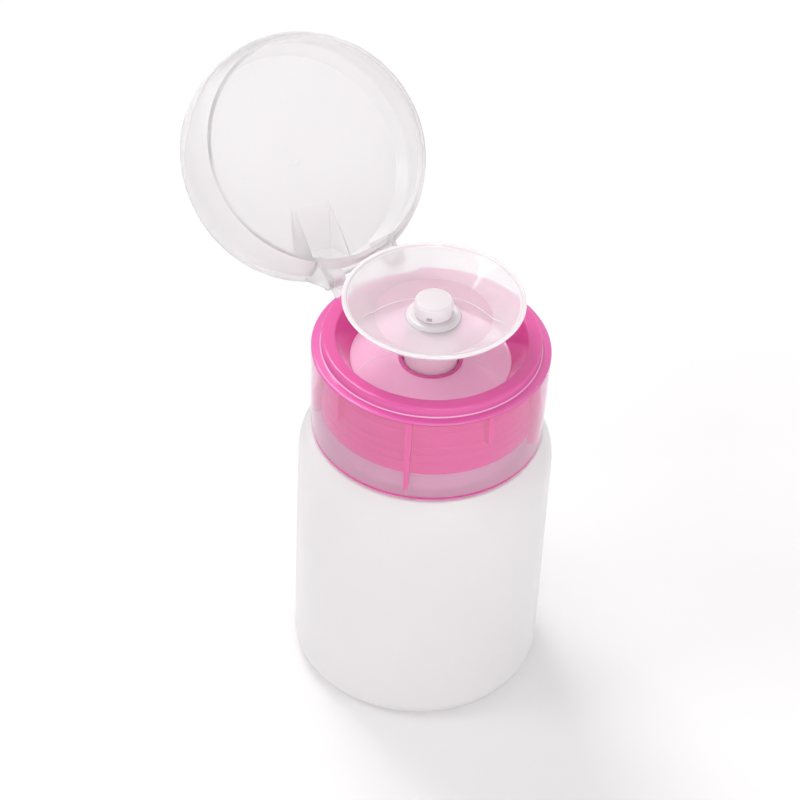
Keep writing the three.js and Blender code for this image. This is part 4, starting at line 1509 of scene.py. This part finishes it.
    def cap_look_at(self, middle: Vector) -> Look:
        """Choose the finish for the middle of a face of the outlet cap: its top gets a darker
        copy of the white as painted shade.
        """
        # The top face gets the darker white: painted shade.
        is_crown = middle.z > self.cap_bottom + self.cap_height - self.cap_roof / 4
        return Look.WHITE_CROWN if is_crown else Look.WHITE_MOULDING

    def cap(self) -> bpy.types.Object:
        """Make the outlet cap with its slots.

        Returns:
            The new object.
        """
        bottom = self.cap_bottom
        top = bottom + self.cap_height
        roof = top - self.cap_roof
        stub = bottom - self.stub_depth
        made = lathe("outlet_cap_shell", fillet([
            (0, roof, 0),
            (self.cap_bore, roof, SOFT_EDGE),
            (self.cap_bore, stub, FINE_EDGE),
            (self.hole - GAP, stub, FINE_EDGE),
            (self.hole - GAP, bottom, FINE_EDGE),
            (self.cap_radius, bottom, 0.2 * MM),
            (self.cap_radius - self.cap_draft, top, 0.7 * MM),
            (0, top, 0),
        ], closed=False), SMALL_TURN)
        half = self.slot_width / 2
        near = Vector((self.cap_bore / 2, -half, bottom + self.slot_height / 2))
        far = Vector((self.slot_reach, half, bottom + self.slot_height * 1.5))
        quarter = 2 * math.pi / self.slots
        carve(made, [
            turn_about_z(block("slot", near, far), (i + 0.5) * quarter) for i in range(self.slots)
        ], Cut.REMOVE)
        return made

    def stem(self) -> bpy.types.Object:
        """Make the stem with its inner tube and ball seat.

        Returns:
            The new object.
        """
        top = self.floor - self.floor_thickness - GAP
        bottom = self.heights.ledge - self.stem_bottom
        roof = top - self.sleeve_roof
        foot = self.heights.ledge - self.sleeve_bottom
        sleeve_bore = self.sleeve - self.sleeve_wall
        return lathe("stem_tube", fillet([
            (self.ball_bore, bottom, 0.1 * MM),
            (self.tube, bottom, FINE_EDGE),
            (self.tube, roof, 0.4 * MM),
            (sleeve_bore, roof, 0.4 * MM),
            (sleeve_bore, foot, 0.2 * MM),
            (self.sleeve, foot, SOFT_EDGE),
            (self.sleeve, top, SOFT_EDGE),
            (self.ball_bore, top, FINE_EDGE),
            (self.ball_bore, top - self.ball_depth, 0.1 * MM),
            (self.bore, top - self.seat_depth, 0.1 * MM),
            (self.bore, bottom + self.rod_depth, 0.1 * MM),
            (self.ball_bore, bottom + self.rod_depth, 0.1 * MM),
        ], closed=True), SMALL_TURN)

    def build(self, wardrobe: Wardrobe) -> None:
        """Make the press head's visible pieces.

        Args:
            wardrobe: The finishes.
        """
        dish = self.dish()
        wardrobe.dress_faces(dish, self.look_at)
        settle(dish, "press_head", "dish")
        self.lines.build(wardrobe, self.surface)
        cap = self.cap()
        wardrobe.dress_faces(cap, self.cap_look_at)
        settle(cap, "press_head", "outlet_cap")
        stem = self.stem()
        wardrobe.dress(stem, Look.WHITE_MOULDING)
        settle(stem, "press_head", "stem")


@dataclass
class PumpEngine:
    """The pieces inside the bottle, which keep their CAD shapes apart from the spring."""

    spring_radius: float = 3.9 * MM
    wire: float = 0.4 * MM
    curls: int = 7
    curl_steps: int = 32
    wire_sides: int = 10
    stroke: float = 7.0 * MM
    nodes: dict[str, Look] = field(default_factory=lambda: {
        "neck_gasket": Look.LINER,
        "outlet_ball": Look.DRAWN_STEEL,
        "stem_seal": Look.SOFT_PLASTIC,
        "piston": Look.SOFT_PLASTIC,
        "piston_rod": Look.WHITE_MOULDING,
        "pump_chamber": Look.WHITE_MOULDING,
        "inlet_ball": Look.DRAWN_STEEL,
        "ball_cage": Look.WHITE_MOULDING,
        "dip_tube": Look.SOFT_PLASTIC,
    })

    def spring_line(self, low: float, high: float) -> list[Vector]:
        """Work out the spring's centre line, whose end curls lie closed.

        Args:
            low: The height of the spring's lower end.
            high: The height of its upper end.

        Returns:
            The points from the lower end to the upper end.
        """
        closed = 2 * self.wire
        start, end = low + self.wire, high - self.wire
        pitch = (end - start - 2 * closed) / (self.curls - 2)
        made = []
        for i in range(self.curls * self.curl_steps + 1):
            turns = i / self.curl_steps
            rise = closed * min(turns, 1) + pitch * min(max(turns - 1, 0), self.curls - 2)
            rise += closed * max(turns - self.curls + 1, 0)
            angle = turns * math.tau
            x, y = self.spring_radius * math.cos(angle), self.spring_radius * math.sin(angle)
            made.append(Vector((x, y, start + rise)))
        return made

    def spring(self, wardrobe: Wardrobe) -> None:
        """Wind the return spring.

        Args:
            wardrobe: The finishes.
        """
        low, high = (corner[2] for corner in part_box("return_spring"))
        line = self.spring_line(low, high)
        last = len(line) - 1
        shape = bmesh.new()
        rings = []
        for i, middle in enumerate(line):
            forward = (line[min(i + 1, last)] - line[max(i - 1, 0)]).normalized()
            outward = Vector((middle.x, middle.y, 0)).normalized()
            across = forward.cross(outward).normalized()
            side = across.cross(forward)
            ring = []
            for j in range(self.wire_sides):
                angle = math.tau * j / self.wire_sides
                reach = self.wire * (side * math.cos(angle) + across * math.sin(angle))
                ring.append(shape.verts.new(middle + reach))
            rings.append(ring)
        skin(shape, rings)
        made = finished("spring_coil", shape)
        shade(made, WIRE_ANGLE)
        wardrobe.dress(made, Look.DRAWN_STEEL)
        settle(made, "collar", "return_spring")
        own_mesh(made)

    def build(self, frame: dict, wardrobe: Wardrobe) -> None:
        """Dress the CAD nodes and wind the spring.

        Args:
            frame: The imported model.
            wardrobe: The finishes.
        """
        for name, look in self.nodes.items():
            wardrobe.dress_node(frame["nodes"][name], look)
            LOG.info("node %s", name)
        self.spring(wardrobe)


@dataclass(frozen=True)
class Lamp:
    """A square soft lamp, with its place given as seen from the camera."""

    name: str
    away: float
    right: float
    height: float
    size: float
    power: float


def combine(tree: bpy.types.NodeTree, operation: str, first: bpy.types.NodeSocket,
            second: bpy.types.NodeSocket | float) -> bpy.types.NodeSocket:
    """Combine two values with a Math node.

    Args:
        tree: The node tree.
        operation: What the node does.
        first: The socket that gives the first value.
        second: The second value, or the socket that gives it.

    Returns:
        The socket that gives the result.
    """
    node = tree.nodes.new("ShaderNodeMath")
    node.operation = operation
    tree.links.new(first, node.inputs[0])
    if isinstance(second, float):
        node.inputs[1].default_value = second
    else:
        tree.links.new(second, node.inputs[1])
    return node.outputs[0]


def seen_by_eye(tree: bpy.types.NodeTree) -> bpy.types.NodeSocket:
    """Give 1 for camera, glossy and transmission rays.

    Args:
        tree: The node tree of the material or the world.

    Returns:
        The socket that gives 1 or 0.
    """
    path = tree.nodes.new("ShaderNodeLightPath").outputs
    seen = combine(tree, "MAXIMUM", path["Is Camera Ray"], path["Is Glossy Ray"])
    return combine(tree, "MAXIMUM", seen, path["Is Transmission Ray"])


@dataclass
class Studio:
    """The white sweep, the lamps and the camera at the photograph's angle."""

    heights: Heights
    azimuth: float = math.radians(34.0)
    elevation: float = math.radians(39.80)
    distance: float = 665.8 * MM
    yaw: float = math.radians(-0.555)
    pitch: float = math.radians(-1.132)
    roll: float = math.radians(3.446)
    focal_px: float = 2899.9
    frame_px: float = 800.0
    sensor: float = 36.0
    clip_start: float = 10 * MM
    clip_end: float = 20.0
    floor_half: float = 3.0
    floor_color: Color = (0.84, 0.825, 0.832)
    floor_roughness: float = 0.9
    floor_glow: float = 0.1
    fade_start: float = 140 * MM
    fade_end: float = 380 * MM
    fill_level: float = 0.58
    bounces: int = 32
    lamps: tuple[Lamp, ...] = (
        Lamp("back_lamp", away=0.54, right=-0.32, height=0.92, size=0.4, power=5.0),
        Lamp("left_lamp", away=-0.15, right=-0.8, height=0.9, size=0.38, power=2.0),
        Lamp("front_lamp", away=-0.95, right=0.35, height=0.2, size=0.8, power=4.8),
        Lamp("spark_lamp", away=-0.6, right=0.0, height=0.8, size=0.12, power=0.5),
    )

    @property
    def away(self) -> Vector:
        """The level direction in which the camera looks."""
        return Vector((math.sin(self.azimuth), math.cos(self.azimuth), 0))

    def axes(self) -> tuple[Vector, Vector, Vector]:
        """Work out how the camera is turned.

        Returns:
            The camera's right, up and forward directions.
        """
        right = Vector((math.cos(self.azimuth), -math.sin(self.azimuth), 0))
        fall = Vector((0, 0, math.sin(self.elevation)))
        ahead = self.away * math.cos(self.elevation) - fall
        above = right.cross(ahead)
        yawed = ahead * math.cos(self.yaw) + right * math.sin(self.yaw)
        right = right * math.cos(self.yaw) - ahead * math.sin(self.yaw)
        forward = yawed * math.cos(self.pitch) + above * math.sin(self.pitch)
        above = above * math.cos(self.pitch) - yawed * math.sin(self.pitch)
        turned = right * math.cos(self.roll) + above * math.sin(self.roll)
        return turned, above * math.cos(self.roll) - right * math.sin(self.roll), forward

    def camera(self) -> None:
        """Place the camera."""
        right, up, forward = self.axes()
        data = bpy.data.cameras.new("photo_camera")
        data.sensor_width = self.sensor
        data.lens = self.focal_px / self.frame_px * self.sensor
        data.clip_start = self.clip_start
        data.clip_end = self.clip_end
        made = new_object("photo_camera", data)
        place = -self.away * self.distance * math.cos(self.elevation)
        place.z = self.heights.ledge + self.distance * math.sin(self.elevation)
        turn = Matrix((right, up, -forward)).transposed().to_4x4()
        made.matrix_world = Matrix.Translation(place) @ turn
        bpy.context.scene.camera = made

    def floor_look(self) -> bpy.types.Material:
        """Make the floor's material: pale by the object, and plain white further out.

        Returns:
            The new material.
        """
        made = bpy.data.materials.new("studio_floor")
        made.use_nodes = True
        tree = made.node_tree
        nodes, links = tree.nodes, tree.links
        surface = nodes["Principled BSDF"]
        surface.inputs["Base Color"].default_value = (*self.floor_color, 1)
        surface.inputs["Roughness"].default_value = self.floor_roughness
        surface.inputs["Specular IOR Level"].default_value = 0.0
        surface.inputs["Emission Color"].default_value = (1, 1, 1, 1)
        seen = seen_by_eye(tree)
        glow = combine(tree, "MULTIPLY", seen, self.floor_glow)
        links.new(glow, surface.inputs["Emission Strength"])
        place = nodes.new("ShaderNodeTexCoord")
        reach = nodes.new("ShaderNodeVectorMath")
        reach.operation = "LENGTH"
        fade = nodes.new("ShaderNodeMapRange")
        fade.interpolation_type = "SMOOTHSTEP"
        fade.inputs["From Min"].default_value = self.fade_start
        fade.inputs["From Max"].default_value = self.fade_end
        white = nodes.new("ShaderNodeEmission")
        mix = nodes.new("ShaderNodeMixShader")
        links.new(place.outputs["Object"], reach.inputs[0])
        links.new(reach.outputs["Value"], fade.inputs["Value"])
        far = combine(tree, "MULTIPLY", fade.outputs["Result"], seen)
        links.new(far, mix.inputs["Fac"])
        links.new(surface.outputs["BSDF"], mix.inputs[1])
        links.new(white.outputs["Emission"], mix.inputs[2])
        links.new(mix.outputs["Shader"], nodes["Material Output"].inputs["Surface"])
        return made

    def floor(self) -> None:
        """Lay the white floor, which keeps the object's shadow."""
        half = self.floor_half
        mesh = bpy.data.meshes.new("studio_floor")
        corners = [(-half, -half, 0), (half, -half, 0), (half, half, 0), (-half, half, 0)]
        mesh.from_pydata(corners, [], [(0, 1, 2, 3)])
        mesh.materials.append(self.floor_look())
        made = new_object("studio_floor", mesh)

    def world(self) -> None:
        """Light the set from all round."""
        world = bpy.data.worlds.new("studio")
        bpy.context.scene.world = world
        world.use_nodes = True
        tree = world.node_tree
        light = tree.nodes["Background"]
        light.inputs["Color"].default_value = (1, 1, 1, 1)
        level = tree.nodes.new("ShaderNodeMapRange")
        level.inputs["To Min"].default_value = self.fill_level
        level.inputs["To Max"].default_value = 1.0
        tree.links.new(seen_by_eye(tree), level.inputs["Value"])
        tree.links.new(level.outputs["Result"], light.inputs["Strength"])

    def hang(self, lamp: Lamp) -> None:
        """Hang a lamp and aim it at the collar.

        Args:
            lamp: The lamp's place, size and power.
        """
        data = bpy.data.lights.new(lamp.name, "AREA")
        data.size = lamp.size
        data.energy = lamp.power
        right, _, _ = self.axes()
        place = self.away * lamp.away + right * lamp.right + Vector((0, 0, lamp.height))
        made = new_object(lamp.name, data)
        made.location = place
        aim = Vector((0, 0, self.heights.ledge)) - place
        made.rotation_euler = aim.to_track_quat("-Z", "Y").to_euler()

    def light_paths(self) -> None:
        """Let light pass through as many thin walls as the object has behind one another."""
        paths = bpy.context.scene.cycles
        paths.max_bounces = self.bounces
        paths.transmission_bounces = self.bounces
        paths.glossy_bounces = self.bounces // 2
        paths.diffuse_bounces = self.bounces // 2

    def build(self) -> None:
        """Set up the whole studio."""
        self.camera()
        self.light_paths()
        self.floor()
        self.world()
        for lamp in self.lamps:
            self.hang(lamp)


def main() -> None:
    """Build the dressed pump and its studio."""
    logging.basicConfig(level=logging.INFO, format="%(message)s")
    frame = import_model()
    bpy.context.scene.view_settings.view_transform = "Standard"
    heights = Heights()
    wardrobe = Wardrobe()
    wardrobe.stock()
    Bottle(heights).build(wardrobe)
    Collar(heights).build(wardrobe)
    Lid(heights).build(wardrobe)
    PressHead(heights).build(wardrobe)
    PumpEngine().build(frame, wardrobe)
    Studio(heights).build()


if __name__ == "__main__":
    main()
